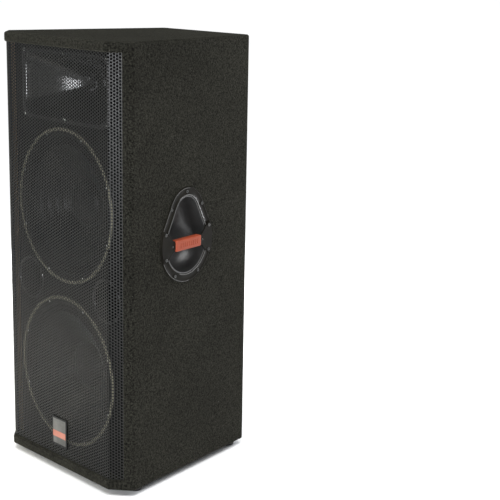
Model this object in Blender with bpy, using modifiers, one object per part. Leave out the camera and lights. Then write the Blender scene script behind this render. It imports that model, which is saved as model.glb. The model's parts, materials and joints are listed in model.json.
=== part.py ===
"""A carpeted dual 15-inch loudspeaker cabinet, as separate parts in one assembly.

Units are metres, +Z is up and the front faces -Y. The origin is on the floor, under the cabinet's middle.
"""
import bmesh
import bpy
from math import asin, atan2, cos, pi, radians, sin
from mathutils import Matrix, Vector

# ---- driving dimensions ----
ASSEMBLY_NAME = "dual_15_loudspeaker"
GAP = 0.0003                      # clearance between touching pieces

FOOT_HEIGHT = 0.014
BODY_HEIGHT = 1.085               # carpeted body, without the feet
BOTTOM_Z = FOOT_HEIGHT
TOP_Z = FOOT_HEIGHT + BODY_HEIGHT
FRONT_Y = -0.245                  # foremost carpet, on the top and bottom lips
CORNER_Y = -0.203                 # where the sides meet the front chamfers
REAR_Y = 0.242                    # outside of the rear carpet
CORNER_HALF = 0.255               # half width at the side and chamfer corner
REAR_HALF = 0.168                 # half width at the rear
FRONT_HALF = 0.206                # half width of the flat front
CARPET = 0.003
WOOD = 0.018
WALL = CARPET + WOOD
LIP_HEIGHT = 0.025                # carpeted strip above and below the grille
SIDE_BAND = 0.024                 # carpeted edge of each side panel, beside the grille

GRILLE_RECESS = 0.007             # grille behind the lips
GRILLE_SHEET = 0.0015
BADGE_SIZE = (0.064, 0.003, 0.076)
BADGE_Z = BOTTOM_Z + 0.090

BAFFLE_FRONT_Y = -0.208
UPPER_WOOFER_Z = BOTTOM_Z + 0.671
LOWER_WOOFER_Z = BOTTOM_Z + 0.247
WOOFER_HOLE = 0.178               # radius of the baffle's hole
BASKET_RADIUS = 0.194             # heights of driver pieces are from the baffle's face, forwards
BASKET_FRONT = 0.006
BASKET_DEPTH = 0.105
BASKET_SHEET = 0.0025
GASKET_RADII = (0.1935, 0.1855)
GASKET_HEIGHT = 0.0025
SURROUND_OUTER = 0.1725
CONE_OUTER = 0.150
CONE_TOP = -0.003
NECK_RADIUS = 0.0386
NECK_HEIGHT = -0.080
DUST_CAP_RADIUS = 0.060
DUST_CAP_RISE = 0.022
SPIDER_RADII = (0.0392, 0.0890)
SPIDER_HEIGHT = -0.0890
MAGNET_RADIUS = 0.0950
MAGNET_BACK = -0.1385
MOTOR_BACK = -0.1470
COIL_RADII = (0.0382, 0.0370)
PORT_X = 0.160
PORT_Z = BOTTOM_Z + 0.461
PORT_RADIUS = 0.047
PORT_WALL = 0.003
PORT_LENGTH = 0.115
PORT_LIP = 0.008
HORN_Z = BOTTOM_Z + 0.9635
HORN_HALF = (0.165, 0.075)        # half size of the horn's mouth
HORN_FLANGE = 0.014
HORN_DEPTH = 0.125
THROAT_RADIUS = 0.018

HANDLE_RUN = 0.198                # distance of the handle's middle from the front corner, along the side
HANDLE_Z = BOTTOM_Z + 0.6095
PEAR_LOWER_RADIUS = 0.100         # the handle flange is the hull of two circles
PEAR_UPPER_RADIUS = 0.067
PEAR_LOWER_Z = -0.0185
PEAR_UPPER_Z = 0.051
HANDLE_RING = 0.021               # width of the flange ring
HANDLE_SHEET = 0.003
CUP_DEPTH = 0.072
BAR_Z = -0.021                    # bar below the flange's mid-height
BAR_OUT = 0.0020                  # bar's middle outside the carpet
BAR_SIZE = (0.110, 0.016, 0.010)
SLEEVE_SIZE = (0.098, 0.028, 0.018)
POCKET_INSET = -0.008             # pocket in the wood and carpet, inside the flange's outline

DISH_CENTRE = (0.012, BOTTOM_Z + 0.330)
DISH_SIZE = (0.180, 0.132)
DISH_OPENING = (0.138, 0.094)
DISH_DEPTH = 0.013
DISH_SHEET = 0.0025
DISH_HOLE_MARGIN = 0.012          # rear panel's hole, larger than the plate's opening

BRACE_FRONT_Y = -0.060
FOOT_INSET = 0.030                # feet in from the sides
FOOT_SETBACK = 0.035              # feet in from the front corners and the rear
BOARD_Z = BOTTOM_Z + 0.560
BOARD_SIZE = (0.160, 0.003, 0.110)
BOARD_Y = REAR_Y - WALL - 2 * GAP - 0.0025
LEAD_RADIUS = 0.0025

FINE = 24                         # sides of a large turned piece
SMALL = 16                        # sides of a small turned piece
FACE_FRONT = (pi / 2, 0, 0)       # turns local +Z to the cabinet's front

MATERIALS = {
    "carpet": ((0.018, 0.018, 0.015), 0.95, 0.0),
    "plywood": ((0.35, 0.24, 0.14), 0.70, 0.0),
    "grille_steel": ((0.020, 0.020, 0.020), 0.45, 0.6),
    "basket_steel": ((0.030, 0.030, 0.030), 0.50, 0.7),
    "paper_cone": ((0.020, 0.020, 0.020), 0.85, 0.0),
    "olive_gasket": ((0.250, 0.240, 0.180), 0.80, 0.0),
    "surround_cloth": ((0.030, 0.030, 0.028), 0.80, 0.0),
    "spider_cloth": ((0.450, 0.330, 0.160), 0.85, 0.0),
    "ferrite": ((0.050, 0.050, 0.055), 0.60, 0.0),
    "zinc_steel": ((0.550, 0.550, 0.520), 0.35, 1.0),
    "copper": ((0.700, 0.320, 0.180), 0.35, 1.0),
    "horn_plastic": ((0.015, 0.015, 0.016), 0.30, 0.0),
    "handle_plastic": ((0.045, 0.045, 0.047), 0.45, 0.0),
    "orange_rubber": ((0.700, 0.120, 0.050), 0.55, 0.0),
    "black_rubber": ((0.015, 0.015, 0.015), 0.80, 0.0),
    "label_print": ((0.650, 0.650, 0.660), 0.50, 0.0),
    "circuit_board": ((0.050, 0.160, 0.070), 0.50, 0.0),
    "lead_vinyl": ((0.020, 0.020, 0.020), 0.60, 0.0),
    "badge_metal": ((0.200, 0.200, 0.210), 0.35, 0.8),
    "titanium": ((0.500, 0.500, 0.520), 0.30, 1.0),
}


# ---- scene set-up ----
def clear_scene():
    for thing in list(bpy.data.objects):
        bpy.data.objects.remove(thing, do_unlink=True)


def new_collection(name):
    found = bpy.data.collections.new(name)
    bpy.context.scene.collection.children.link(found)
    return found


def make_materials():
    made = {}
    for name, (colour, roughness, metallic) in MATERIALS.items():
        material = bpy.data.materials.new(name)
        material.use_nodes = True
        shader = material.node_tree.nodes["Principled BSDF"]
        shader.inputs["Base Color"].default_value = (*colour, 1.0)
        shader.inputs["Roughness"].default_value = roughness
        shader.inputs["Metallic"].default_value = metallic
        made[name] = material
    return made


clear_scene()
PARTS = new_collection(ASSEMBLY_NAME)
CUTTERS = new_collection("cutters")
LOOK = make_materials()


def add_mesh(name, mesh, material=None, collection=None, smooth=False):
    """Put a mesh in the scene as a named part."""
    thing = bpy.data.objects.new(name, mesh)
    (collection or PARTS).objects.link(thing)
    if material:
        own = LOOK[material].copy()
        own.name = name + "_material"
        mesh.materials.clear()
        mesh.materials.append(own)
    if smooth:
        mesh.shade_smooth()
        mesh.set_sharp_from_angle(angle=radians(35))
    return thing


def as_cutter(thing):
    """Make an object a hidden Boolean tool."""
    for owner in list(thing.users_collection):
        owner.objects.unlink(thing)
    CUTTERS.objects.link(thing)
    thing.hide_render = True
    thing.display_type = "WIRE"
    return thing


def combine(target, tool, operation):
    modifier = target.modifiers.new(operation.lower(), "BOOLEAN")
    modifier.operation = operation
    modifier.solver = "EXACT"
    modifier.object = tool
    return target


def cut(target, *tools):
    for tool in tools:
        combine(target, as_cutter(tool), "DIFFERENCE")
    return target


def join(target, *tools):
    for tool in tools:
        combine(target, as_cutter(tool), "UNION")
    return target


# ---- shape helpers ----
def box(name, size, centre, material=None):
    """A box from the cube primitive, with its real size in the mesh."""
    shape = bmesh.new()
    bmesh.ops.create_cube(shape, size=1.0)
    bmesh.ops.scale(shape, vec=size, verts=shape.verts)
    mesh = bpy.data.meshes.new(name)
    shape.to_mesh(mesh)
    shape.free()
    thing = add_mesh(name, mesh, material)
    thing.location = centre
    return thing


def cylinder(name, radius, depth, centre, material=None, sides=SMALL, rotation=(0, 0, 0)):
    shape = bmesh.new()
    bmesh.ops.create_cone(shape, cap_ends=True, segments=sides, radius1=radius, radius2=radius, depth=depth)
    mesh = bpy.data.meshes.new(name)
    shape.to_mesh(mesh)
    shape.free()
    thing = add_mesh(name, mesh, material, smooth=True)
    thing.location = centre
    thing.rotation_euler = rotation
    return thing


def bore_cutter(name, radius, depth, centre, sides=SMALL):
    """A cutter along Y whose flats, not its corners, are at the radius."""
    return cylinder(name, radius / cos(pi / sides), depth, centre, None, sides, FACE_FRONT)


def mesh_from_curve(name, curve):
    """Turn curve data into a welded mesh in its own local space."""
    holder = bpy.data.objects.new(name + "_curve", curve)
    PARTS.objects.link(holder)
    bpy.context.view_layer.update()
    evaluated = holder.evaluated_get(bpy.context.evaluated_depsgraph_get())
    mesh = bpy.data.meshes.new_from_object(evaluated)
    shape = bmesh.new()
    shape.from_mesh(mesh)
    bmesh.ops.remove_doubles(shape, verts=shape.verts, dist=0.00001)
    bmesh.ops.recalc_face_normals(shape, faces=shape.faces)
    shape.to_mesh(mesh)
    shape.free()
    bpy.data.objects.remove(holder, do_unlink=True)
    bpy.data.curves.remove(curve)
    return mesh


def prism(name, outline, low, high, material=None, smooth=False):
    """A flat outline in X and Y, given thickness from low to high along Z."""
    curve = bpy.data.curves.new(name, "CURVE")
    curve.dimensions = "2D"
    curve.fill_mode = "BOTH"
    curve.extrude = (high - low) / 2
    spline = curve.splines.new("POLY")
    spline.points.add(len(outline) - 1)
    for point, (x, y) in zip(spline.points, outline):
        point.co = (x, y, 0.0, 1.0)
    spline.use_cyclic_u = True
    thing = add_mesh(name, mesh_from_curve(name, curve), material, smooth=smooth)
    thing.location = (0, 0, (low + high) / 2)
    return thing


def turned(name, profile, material=None, sides=FINE, closed=True):
    """A profile of (radius, height) points turned about Z. It runs down the outer side first."""
    shape = bmesh.new()
    points = [shape.verts.new((radius, 0.0, height)) for radius, height in profile]
    for first, second in zip(points, points[1:] + (points[:1] if closed else [])):
        shape.edges.new((first, second))
    mesh = bpy.data.meshes.new(name)
    shape.to_mesh(mesh)
    shape.free()
    thing = add_mesh(name, mesh, material)
    screw = thing.modifiers.new("turn", "SCREW")
    screw.steps = sides
    screw.render_steps = sides
    screw.use_merge_vertices = True
    screw.merge_threshold = 0.00005
    screw.use_smooth_shade = False
    return thing


def ring(name, outer, inner, low, high, material, sides=FINE):
    return turned(name, [(outer, high), (outer, low), (inner, low), (inner, high)], material, sides)


def tube_along(name, points, radius, material):
    """A round lead along a list of points."""
    curve = bpy.data.curves.new(name, "CURVE")
    curve.dimensions = "3D"
    curve.bevel_depth = radius
    curve.bevel_resolution = 2
    curve.use_fill_caps = True
    spline = curve.splines.new("POLY")
    spline.points.add(len(points) - 1)
    for point, place in zip(spline.points, points):
        point.co = (*place, 1.0)
    return add_mesh(name, mesh_from_curve(name, curve), material, smooth=True)


def smooth_route(knots, steps):
    """Points along a Catmull-Rom curve through the knots."""
    ends = [2 * knots[0] - knots[1]] + list(knots) + [2 * knots[-1] - knots[-2]]
    route = []
    for index in range(len(knots) - 1):
        a, b, c, d = ends[index:index + 4]
        for step in range(steps):
            t = step / steps
            route.append(0.5 * (2 * b + (c - a) * t + (2 * a - 5 * b + 4 * c - d) * t * t
                                + (3 * b - a - 3 * c + d) * t ** 3))
    return route + [knots[-1]]


def loft(name, rings, material, close_end=True):
    """Skin a row of equal-length point rings, with a fan over the last one."""
    shape = bmesh.new()
    rows = [[shape.verts.new(point) for point in points] for points in rings]
    count = len(rows[0])
    for near, far in zip(rows, rows[1:]):
        for i in range(count):
            j = (i + 1) % count
            shape.faces.new((near[i], near[j], far[j], far[i]))
    if close_end:
        middle = sum((vert.co for vert in rows[-1]), Vector()) / count
        tip = shape.verts.new(middle)
        for i in range(count):
            shape.faces.new((rows[-1][i], rows[-1][(i + 1) % count], tip))
    mesh = bpy.data.meshes.new(name)
    shape.to_mesh(mesh)
    shape.free()
    return add_mesh(name, mesh, material, smooth=True)


def thicken(thing, thickness, offset):
    shell = thing.modifiers.new("shell", "SOLIDIFY")
    shell.thickness = thickness
    shell.offset = offset
    shell.use_even_offset = True
    return thing


# ---- the cabinet's outline ----
def line_offset(start, end, distance):
    """A line moved to its left by a distance, as a point and a direction."""
    direction = (Vector(end) - Vector(start)).normalized()
    return Vector(start) + Vector((-direction.y, direction.x)) * distance, direction


def crossing(first, second):
    """Where two lines, each a point and a direction, cross."""
    (p, u), (q, v) = first, second
    share = (q - p).cross(v) / u.cross(v)
    return p + u * share


def outline(front, chamfer, side, rear):
    """The plan with each edge moved inwards by its own distance, counter-clockwise from the front left."""
    corners = [(-FRONT_HALF, FRONT_Y), (FRONT_HALF, FRONT_Y), (CORNER_HALF, CORNER_Y),
               (REAR_HALF, REAR_Y), (-REAR_HALF, REAR_Y), (-CORNER_HALF, CORNER_Y)]
    insets = [front, chamfer, side, rear, side, chamfer]
    edges = [line_offset(corners[i], corners[(i + 1) % 6], insets[i]) for i in range(6)]
    return [crossing(edges[i - 1], edges[i]) for i in range(6)]


def clip_front(points, y):
    """Cut a plan outline off in front of a line across it."""
    kept = []
    for a, b in zip(points, points[1:] + points[:1]):
        if a.y >= y:
            kept.append(a)
        if (a.y - y) * (b.y - y) < 0:
            kept.append(a + (b - a) * ((y - a.y) / (b.y - a.y)))
    return kept


def clip_rear(points, y):
    """Cut a plan outline off behind a line across it."""
    flipped = [Vector((p.x, -p.y)) for p in points]
    return [Vector((p.x, -p.y)) for p in clip_front(flipped, -y)]


SIDE_TURN = atan2(CORNER_HALF - REAR_HALF, REAR_Y - CORNER_Y)


def handle_empty(side_name, sign):
    """An empty in the middle of a handle's flange: local Y is up and local Z points out of the side."""
    run = Vector((-sin(SIDE_TURN) * sign, cos(SIDE_TURN), 0))
    outward = Vector((cos(SIDE_TURN) * sign, sin(SIDE_TURN), 0))
    up = Vector((0, 0, 1))
    across = up.cross(outward)
    place = Vector((CORNER_HALF * sign, CORNER_Y, HANDLE_Z)) + run * HANDLE_RUN
    holder = bpy.data.objects.new(side_name + "_handle_place", None)
    PARTS.objects.link(holder)
    turn = Matrix((across, up, outward)).transposed()
    holder.matrix_world = Matrix.Translation(place) @ turn.to_4x4()
    return holder


def pear(offset, count=32):
    """The handle's outline, grown by an offset: the hull of a large lower and a small upper circle."""
    lower = PEAR_LOWER_RADIUS + offset
    upper = PEAR_UPPER_RADIUS + offset
    lean = asin((lower - upper) / (PEAR_UPPER_Z - PEAR_LOWER_Z))
    upper_share = (pi - 2 * lean) / (2 * pi)
    upper_count = max(4, round(count * upper_share * 0.8))
    points = []
    for i in range(upper_count + 1):
        angle = lean + (pi - 2 * lean) * i / upper_count
        points.append((upper * cos(angle), PEAR_UPPER_Z + upper * sin(angle)))
    lower_count = count - upper_count - 1
    for i in range(lower_count):
        angle = pi - lean + (pi + 2 * lean) * i / (lower_count - 1)
        points.append((lower * cos(angle), PEAR_LOWER_Z + lower * sin(angle)))
    return points


def pear_cutter(name, holder, offset, inner, outer):
    thing = prism(name, pear(offset), inner, outer)
    thing.parent = holder
    return thing


# ---- wooden box ----
def make_panels(handles):
    low = BOTTOM_Z + CARPET + GAP
    high = TOP_Z - CARPET - GAP
    inside_low = low + WOOD + GAP
    inside_high = high - WOOD - GAP
    skin = CARPET + GAP
    full = outline(skin, skin, skin, skin)
    prism("bottom_panel", full, low, low + WOOD, "plywood")
    prism("top_panel", full, high - WOOD, high, "plywood")

    room = outline(0.0, 0.0, skin + WOOD, skin)
    for name, sign in (("left_side_panel", -1), ("right_side_panel", 1)):
        # corners: front inner, front outer, rear outer, rear inner
        side = [crossing(line_offset((FRONT_HALF, FRONT_Y), (CORNER_HALF, CORNER_Y), skin),
                         line_offset((CORNER_HALF, CORNER_Y), (REAR_HALF, REAR_Y), skin + WOOD)),
                full[2], full[3], room[3]]
        points = [(p.x * sign, p.y) for p in side]
        panel = prism(name, points, inside_low, inside_high, "plywood")
        cut(panel, pear_cutter(name + "_pocket", handles[sign], POCKET_INSET, -0.05, 0.05))

    inner = outline(0.0, 0.0, skin + WOOD + GAP, skin)
    rear = clip_front(inner, REAR_Y - skin - WOOD)
    rear_panel = prism("rear_panel", rear, inside_low, inside_high, "plywood")
    cut(rear_panel, dish_hole("rear_panel_opening", 0.1))

    strip = clip_rear(clip_front(outline(0.0, SIDE_BAND, skin + WOOD + GAP, skin), BAFFLE_FRONT_Y),
                      BAFFLE_FRONT_Y + WOOD)
    baffle = prism("front_baffle", strip, inside_low, inside_high, "plywood")
    for name, z in (("upper", UPPER_WOOFER_Z), ("lower", LOWER_WOOFER_Z)):
        centre = (0, BAFFLE_FRONT_Y, z)
        cut(baffle, bore_cutter(name + "_woofer_hole", WOOFER_HOLE + GAP, 0.1, centre, FINE))
    port_hole = PORT_RADIUS + PORT_WALL + GAP
    for name, x in (("left", -PORT_X), ("right", PORT_X)):
        cut(baffle, bore_cutter(name + "_port_hole", port_hole, 0.1, (x, BAFFLE_FRONT_Y, PORT_Z)))
    cut(baffle, box("horn_hole", (2 * HORN_HALF[0] + 0.008, 0.1, 2 * HORN_HALF[1] + 0.008),
                    (0, BAFFLE_FRONT_Y, HORN_Z)))

    shelf = clip_rear(clip_front(inner, BRACE_FRONT_Y), REAR_Y - skin - WOOD - GAP)
    brace = prism("middle_brace", shelf, PORT_Z - WOOD / 2, PORT_Z + WOOD / 2, "plywood")
    cut(brace, box("brace_window", (0.22, 0.16, 0.1), (0, 0.075, PORT_Z)))


def dish_hole(name, depth):
    """A cutter for the input plate's pan, through the rear."""
    size = (DISH_OPENING[0] + DISH_HOLE_MARGIN, depth, DISH_OPENING[1] + DISH_HOLE_MARGIN)
    return box(name, size, (DISH_CENTRE[0], REAR_Y, DISH_CENTRE[1]))


def make_carpet(handles):
    carpet = prism("carpet_cover", outline(0, 0, 0, 0), BOTTOM_Z, TOP_Z, "carpet")
    inside_plan = outline(CARPET, CARPET, CARPET, CARPET)
    hollow = prism("carpet_hollow", inside_plan, BOTTOM_Z + CARPET, TOP_Z - CARPET)
    inside = outline(-0.05, -0.05, SIDE_BAND, SIDE_BAND)
    window = prism("carpet_window", clip_rear(inside, 0.0), BOTTOM_Z + LIP_HEIGHT, TOP_Z - LIP_HEIGHT)
    cut(carpet, hollow, window)
    for sign, holder in handles.items():
        side = "right" if sign > 0 else "left"
        cut(carpet, pear_cutter("carpet_pocket_" + side, holder, POCKET_INSET, -0.01, 0.01))
    cut(carpet, dish_hole("carpet_dish_hole", 0.02))


def make_grille():
    """A sheet bent round both front chamfers, ending beside the carpeted edges of the sides."""
    band = line_offset((CORNER_HALF, CORNER_Y), (REAR_HALF, REAR_Y), SIDE_BAND + GAP)
    front, back = GRILLE_RECESS, GRILLE_RECESS + GRILLE_SHEET
    right = []
    for inset in (front, back):
        face = line_offset((-FRONT_HALF, FRONT_Y), (FRONT_HALF, FRONT_Y), inset)
        chamfer = line_offset((FRONT_HALF, FRONT_Y), (CORNER_HALF, CORNER_Y), inset)
        right.append((crossing(face, chamfer), crossing(chamfer, band)))
    (bend, end), (inner_bend, inner_end) = right
    half = [bend, end, inner_end, inner_bend]
    mirrored = [Vector((-p.x, p.y)) for p in reversed(half)]
    low, high = BOTTOM_Z + LIP_HEIGHT + GAP, TOP_Z - LIP_HEIGHT - GAP
    prism("front_grille", half + mirrored, low, high, "grille_steel")

    badge_y = FRONT_Y + GRILLE_RECESS - BADGE_SIZE[1] / 2 - GAP
    plate = box("badge", BADGE_SIZE, (0, badge_y, BADGE_Z), "badge_metal")
    edge = plate.modifiers.new("rounded", "BEVEL")
    edge.width = 0.0008
    edge.segments = 2


def make_feet():
    taper = (CORNER_HALF - REAR_HALF) / (REAR_Y - CORNER_Y)
    places = {"front": (CORNER_Y + FOOT_SETBACK, CORNER_HALF - FOOT_INSET - FOOT_SETBACK * taper),
              "rear": (REAR_Y - FOOT_SETBACK, REAR_HALF - FOOT_INSET + FOOT_SETBACK * taper)}
    for end, (y, x) in places.items():
        for side, sign in (("left", -1), ("right", 1)):
            foot = turned("foot_%s_%s" % (end, side),
                          [(0.0, -GAP), (0.018, -GAP), (0.016, -0.012), (0.014, -FOOT_HEIGHT),
                           (0.0, -FOOT_HEIGHT)], "black_rubber", SMALL, closed=False)
            foot.location = (x * sign, y, BOTTOM_Z)


# ---- woofers ----
def place_driver(thing, x, z):
    thing.location = (x, BAFFLE_FRONT_Y, z)
    thing.rotation_euler = FACE_FRONT
    return thing


def cone_height(radius):
    """Height of the cone's front face, a slightly curved flare."""
    share = max(0.0, (radius - NECK_RADIUS) / (CONE_OUTER - NECK_RADIUS))
    return NECK_HEIGHT + (CONE_TOP - NECK_HEIGHT) * share ** 0.92


def make_basket(name, z):
    back = -BASKET_DEPTH
    profile = [(BASKET_RADIUS, BASKET_FRONT), (BASKET_RADIUS, GAP), (0.1775, GAP), (0.1765, -0.012),
               (0.172, -0.022), (0.096, -0.088), (0.088, back), (0.046, back), (0.046, back + BASKET_SHEET),
               (0.084, back + BASKET_SHEET), (0.0915, -0.0865), (0.1685, -0.020), (0.173, -0.010),
               (0.173, 0.001), (0.180, BASKET_FRONT)]
    basket = turned(name, profile, "basket_steel")
    place_driver(basket, 0, z)
    for index in range(6):
        angle = pi / 6 + index * pi / 3
        window = box("%s_window_%d" % (name, index + 1), (0.075, 0.075, 0.040), (0, 0, 0))
        window.parent = basket
        window.rotation_euler = (0, 0, angle)
        window.location = (0.134 * cos(angle), 0.134 * sin(angle), -0.054)
        cut(basket, window)


def make_surround(name, z):
    """A half-roll of cloth between the cone's edge and the basket's rim."""
    sheet = 0.0010
    inner, outer, base = CONE_OUTER + 0.0006, SURROUND_OUTER, CONE_TOP
    middle = (inner + outer) / 2
    roll = (outer - inner) / 2 - 0.0045
    crest = []
    for index in range(5):
        angle = pi * index / 4
        crest.append((cos(angle), sin(angle)))
    top = [(middle + (roll + sheet) * c, base + sheet + roll * s) for c, s in crest]
    under = [(middle + (roll - sheet) * c, base + (roll - sheet) * s) for c, s in reversed(crest)]
    profile = [(outer, base + sheet), (outer, base)] + list(reversed(under))
    profile += [(inner, base), (inner, base + sheet)] + list(reversed(top))
    thing = turned(name, profile, "surround_cloth")
    return place_driver(thing, 0, z)


def make_cone(name, z):
    sheet = 0.0015
    radii = [CONE_OUTER - (CONE_OUTER - NECK_RADIUS) * i / 3 for i in range(4)]
    front = [(r, cone_height(r)) for r in radii]
    back = [(r, cone_height(r) - 1.3 * sheet) for r in radii]
    thing = turned(name, back + list(reversed(front)), "paper_cone")
    return place_driver(thing, 0, z)


def make_dust_cap(name, z):
    sheet = 0.0012
    rim = cone_height(DUST_CAP_RADIUS) + 0.0010
    steps = 4
    outer = []
    for index in range(steps + 1):
        angle = pi / 2 * index / steps
        outer.append((DUST_CAP_RADIUS * sin(angle), rim + DUST_CAP_RISE * cos(angle)))
    inner = [(max(0.0, (r - sheet * sin(pi / 2 * i / steps))), h - sheet * (1.0 if i < steps else 0.0))
             for i, (r, h) in enumerate(outer)]
    thing = turned(name, outer + list(reversed(inner)), "paper_cone", closed=False)
    return place_driver(thing, 0, z)


def make_spider(name, z):
    """A corrugated disc that centres the voice coil."""
    inner, outer = SPIDER_RADII
    sheet = 0.0008
    waves = 2
    count = 4 * waves
    top, under = [], []
    for index in range(count + 1):
        share = index / count
        radius = outer - (outer - inner) * share
        height = SPIDER_HEIGHT + 0.0018 * sin(2 * pi * waves * share)
        top.append((radius, height + sheet))
        under.append((radius, height))
    thing = turned(name, under + list(reversed(top)), "spider_cloth")
    return place_driver(thing, 0, z)


def make_motor(prefix, z):
    """Top plate, magnet ring, back plate with its pole piece, and the voice coil in their gap."""
    top_low, top_high = -0.1165, -BASKET_DEPTH - GAP
    pole_top = top_high - 0.001
    pole_radius = 0.0360
    plate_radius = 0.0880
    plate_top = MAGNET_BACK - GAP
    place_driver(ring(prefix + "_top_plate", 0.0850, 0.0393, top_low, top_high, "zinc_steel"), 0, z)
    magnet = ring(prefix + "_magnet", MAGNET_RADIUS, 0.0460, MAGNET_BACK, top_low - GAP, "ferrite")
    place_driver(magnet, 0, z)
    profile = [(0.0, pole_top), (pole_radius, pole_top), (pole_radius, plate_top), (plate_radius, plate_top),
               (plate_radius, MOTOR_BACK), (0.0, MOTOR_BACK)]
    place_driver(turned(prefix + "_back_plate", profile, "zinc_steel", closed=False), 0, z)
    place_driver(ring(prefix + "_voice_coil", *COIL_RADII, -0.1240, -0.0780, "copper"), 0, z)


def make_woofer(prefix, z):
    make_basket(prefix + "_basket", z)
    low = BASKET_FRONT + GAP
    place_driver(ring(prefix + "_gasket", *GASKET_RADII, low, low + GASKET_HEIGHT, "olive_gasket"), 0, z)
    make_surround(prefix + "_surround", z)
    make_cone(prefix + "_cone", z)
    make_dust_cap(prefix + "_dust_cap", z)
    make_spider(prefix + "_spider", z)
    make_motor(prefix, z)


# ---- horn and its driver ----
def superellipse(half_x, half_z, power, count=24):
    points = []
    for index in range(count):
        angle = 2 * pi * (index + 0.5) / count
        c, s = cos(angle), sin(angle)
        points.append((half_x * abs(c) ** (2 / power) * (1 if c >= 0 else -1),
                       half_z * abs(s) ** (2 / power) * (1 if s >= 0 else -1)))
    return points


def make_horn():
    """A flare from a rounded rectangle at the mouth to a round throat, with a flange on the baffle."""
    sheet = 0.003
    rings = []
    flange = (HORN_HALF[0] + HORN_FLANGE, HORN_HALF[1] + HORN_FLANGE)
    rings.append([Vector((x, z, GAP + sheet)) for x, z in superellipse(*flange, 12)])
    stations = 5
    for index in range(stations + 1):
        share = index / stations
        depth = HORN_DEPTH * share
        narrow = (1 - share) ** 1.5
        half_x = THROAT_RADIUS + (HORN_HALF[0] - THROAT_RADIUS) * narrow
        half_z = THROAT_RADIUS + (HORN_HALF[1] - THROAT_RADIUS) * (1 - share) ** 1.15
        power = 2 + 6 * (1 - share) ** 2
        rings.append([Vector((x, z, GAP + sheet - depth)) for x, z in superellipse(half_x, half_z, power)])
    horn = loft("horn_flare", rings, "horn_plastic", close_end=False)
    thicken(horn, sheet, -1.0)
    place_driver(horn, 0, HORN_Z)


def make_horn_driver():
    """The compression driver behind the throat: housing, domed diaphragm, magnet and cap."""
    back = -HORN_DEPTH + GAP
    profile = [(0.045, back - GAP), (0.045, back - 0.020), (0.0385, back - 0.020), (0.0385, back - 0.006),
               (THROAT_RADIUS, back - 0.006), (THROAT_RADIUS, back - GAP)]
    place_driver(turned("hf_driver_housing", profile, "basket_steel"), 0, HORN_Z)
    dome = []
    edge = radians(66)
    for index in range(5):
        angle = radians(8 + 58 * index / 4)
        height = back - 0.0090 - 0.016 * (cos(angle) - cos(edge))
        dome.append((0.036 * sin(angle) / sin(edge), height))
    sheet = 0.0008
    front = [(0.0, dome[0][1] - 0.0002)] + dome[1:]
    rear = [(r, h - sheet) for r, h in front]
    diaphragm = turned("hf_diaphragm", front + list(reversed(rear)), "titanium", closed=False)
    place_driver(diaphragm, 0, HORN_Z)
    place_driver(ring("hf_magnet", 0.056, 0.034, back - 0.046, back - 0.0265, "ferrite"), 0, HORN_Z)
    cap = turned("hf_rear_cap", [(0.0, back - 0.0465), (0.052, back - 0.0465), (0.052, back - 0.054),
                                 (0.046, back - 0.060), (0.0, back - 0.060)], "basket_steel", closed=False)
    place_driver(cap, 0, HORN_Z)


def make_ports():
    lip = PORT_RADIUS + PORT_LIP
    outer = PORT_RADIUS + PORT_WALL
    profile = [(lip, 0.0025), (lip, GAP), (outer, GAP), (outer, -PORT_LENGTH), (PORT_RADIUS, -PORT_LENGTH),
               (PORT_RADIUS, -0.004), (outer, 0.0025)]
    for name, x in (("left_port_tube", -PORT_X), ("right_port_tube", PORT_X)):
        place_driver(turned(name, profile, "horn_plastic"), x, PORT_Z)


# ---- handles ----
def make_cup(name, holder):
    """The flange, the pocket's wall and its domed floor, as one moulded shell."""
    rings = [[Vector((x, y, HANDLE_SHEET + GAP)) for x, y in pear(0.0)],
             [Vector((x, y, HANDLE_SHEET + GAP)) for x, y in pear(-HANDLE_RING)]]
    middle_y = (PEAR_LOWER_Z + PEAR_UPPER_Z) / 2 - 0.012
    steps = 4
    for index in range(1, steps + 1):
        share = index / (steps + 1)
        depth = CUP_DEPTH * sin(pi / 2 * share) ** 0.8
        shrink = cos(pi / 2 * share) ** 0.45
        rings.append([Vector((x * shrink, middle_y + (y - middle_y) * shrink, HANDLE_SHEET + GAP - depth))
                      for x, y in pear(-HANDLE_RING)])
    cup = loft(name, rings, "handle_plastic")
    thicken(cup, HANDLE_SHEET, -1.0)
    cup.parent = holder


def end_plate_outline(sign):
    """One half of the bow-tie: wide at the flange's rim, narrow at the bar."""
    rim = PEAR_LOWER_RADIUS - 0.003
    spread, steps = 24, 6
    points = []
    for index in range(steps + 1):
        angle = radians(-spread + 2 * spread * index / steps)
        points.append((rim * cos(angle), PEAR_LOWER_Z + rim * sin(angle)))
    waist_x, waist_half = 0.050, 0.013
    shoulder_x, shoulder_top, shoulder_bottom = 0.074, 0.0125, -0.052
    points += [(shoulder_x, shoulder_top), (waist_x, BAR_Z + waist_half),
               (waist_x, BAR_Z - waist_half), (shoulder_x, shoulder_bottom)]
    if sign < 0:
        return [(-x, y) for x, y in reversed(points)]
    return points


def make_bar(name, holder):
    """The grip's core with an end plate at each side, on the flange."""
    low = HANDLE_SHEET + 2 * GAP
    bar = box(name, BAR_SIZE, (0, BAR_Z, BAR_OUT), "handle_plastic")
    bar.parent = holder
    for end, sign in (("first", -1), ("second", 1)):
        plate = prism("%s_%s_plate" % (name, end), end_plate_outline(sign), low, low + HANDLE_SHEET)
        plate.parent = holder
        join(bar, plate)


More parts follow.
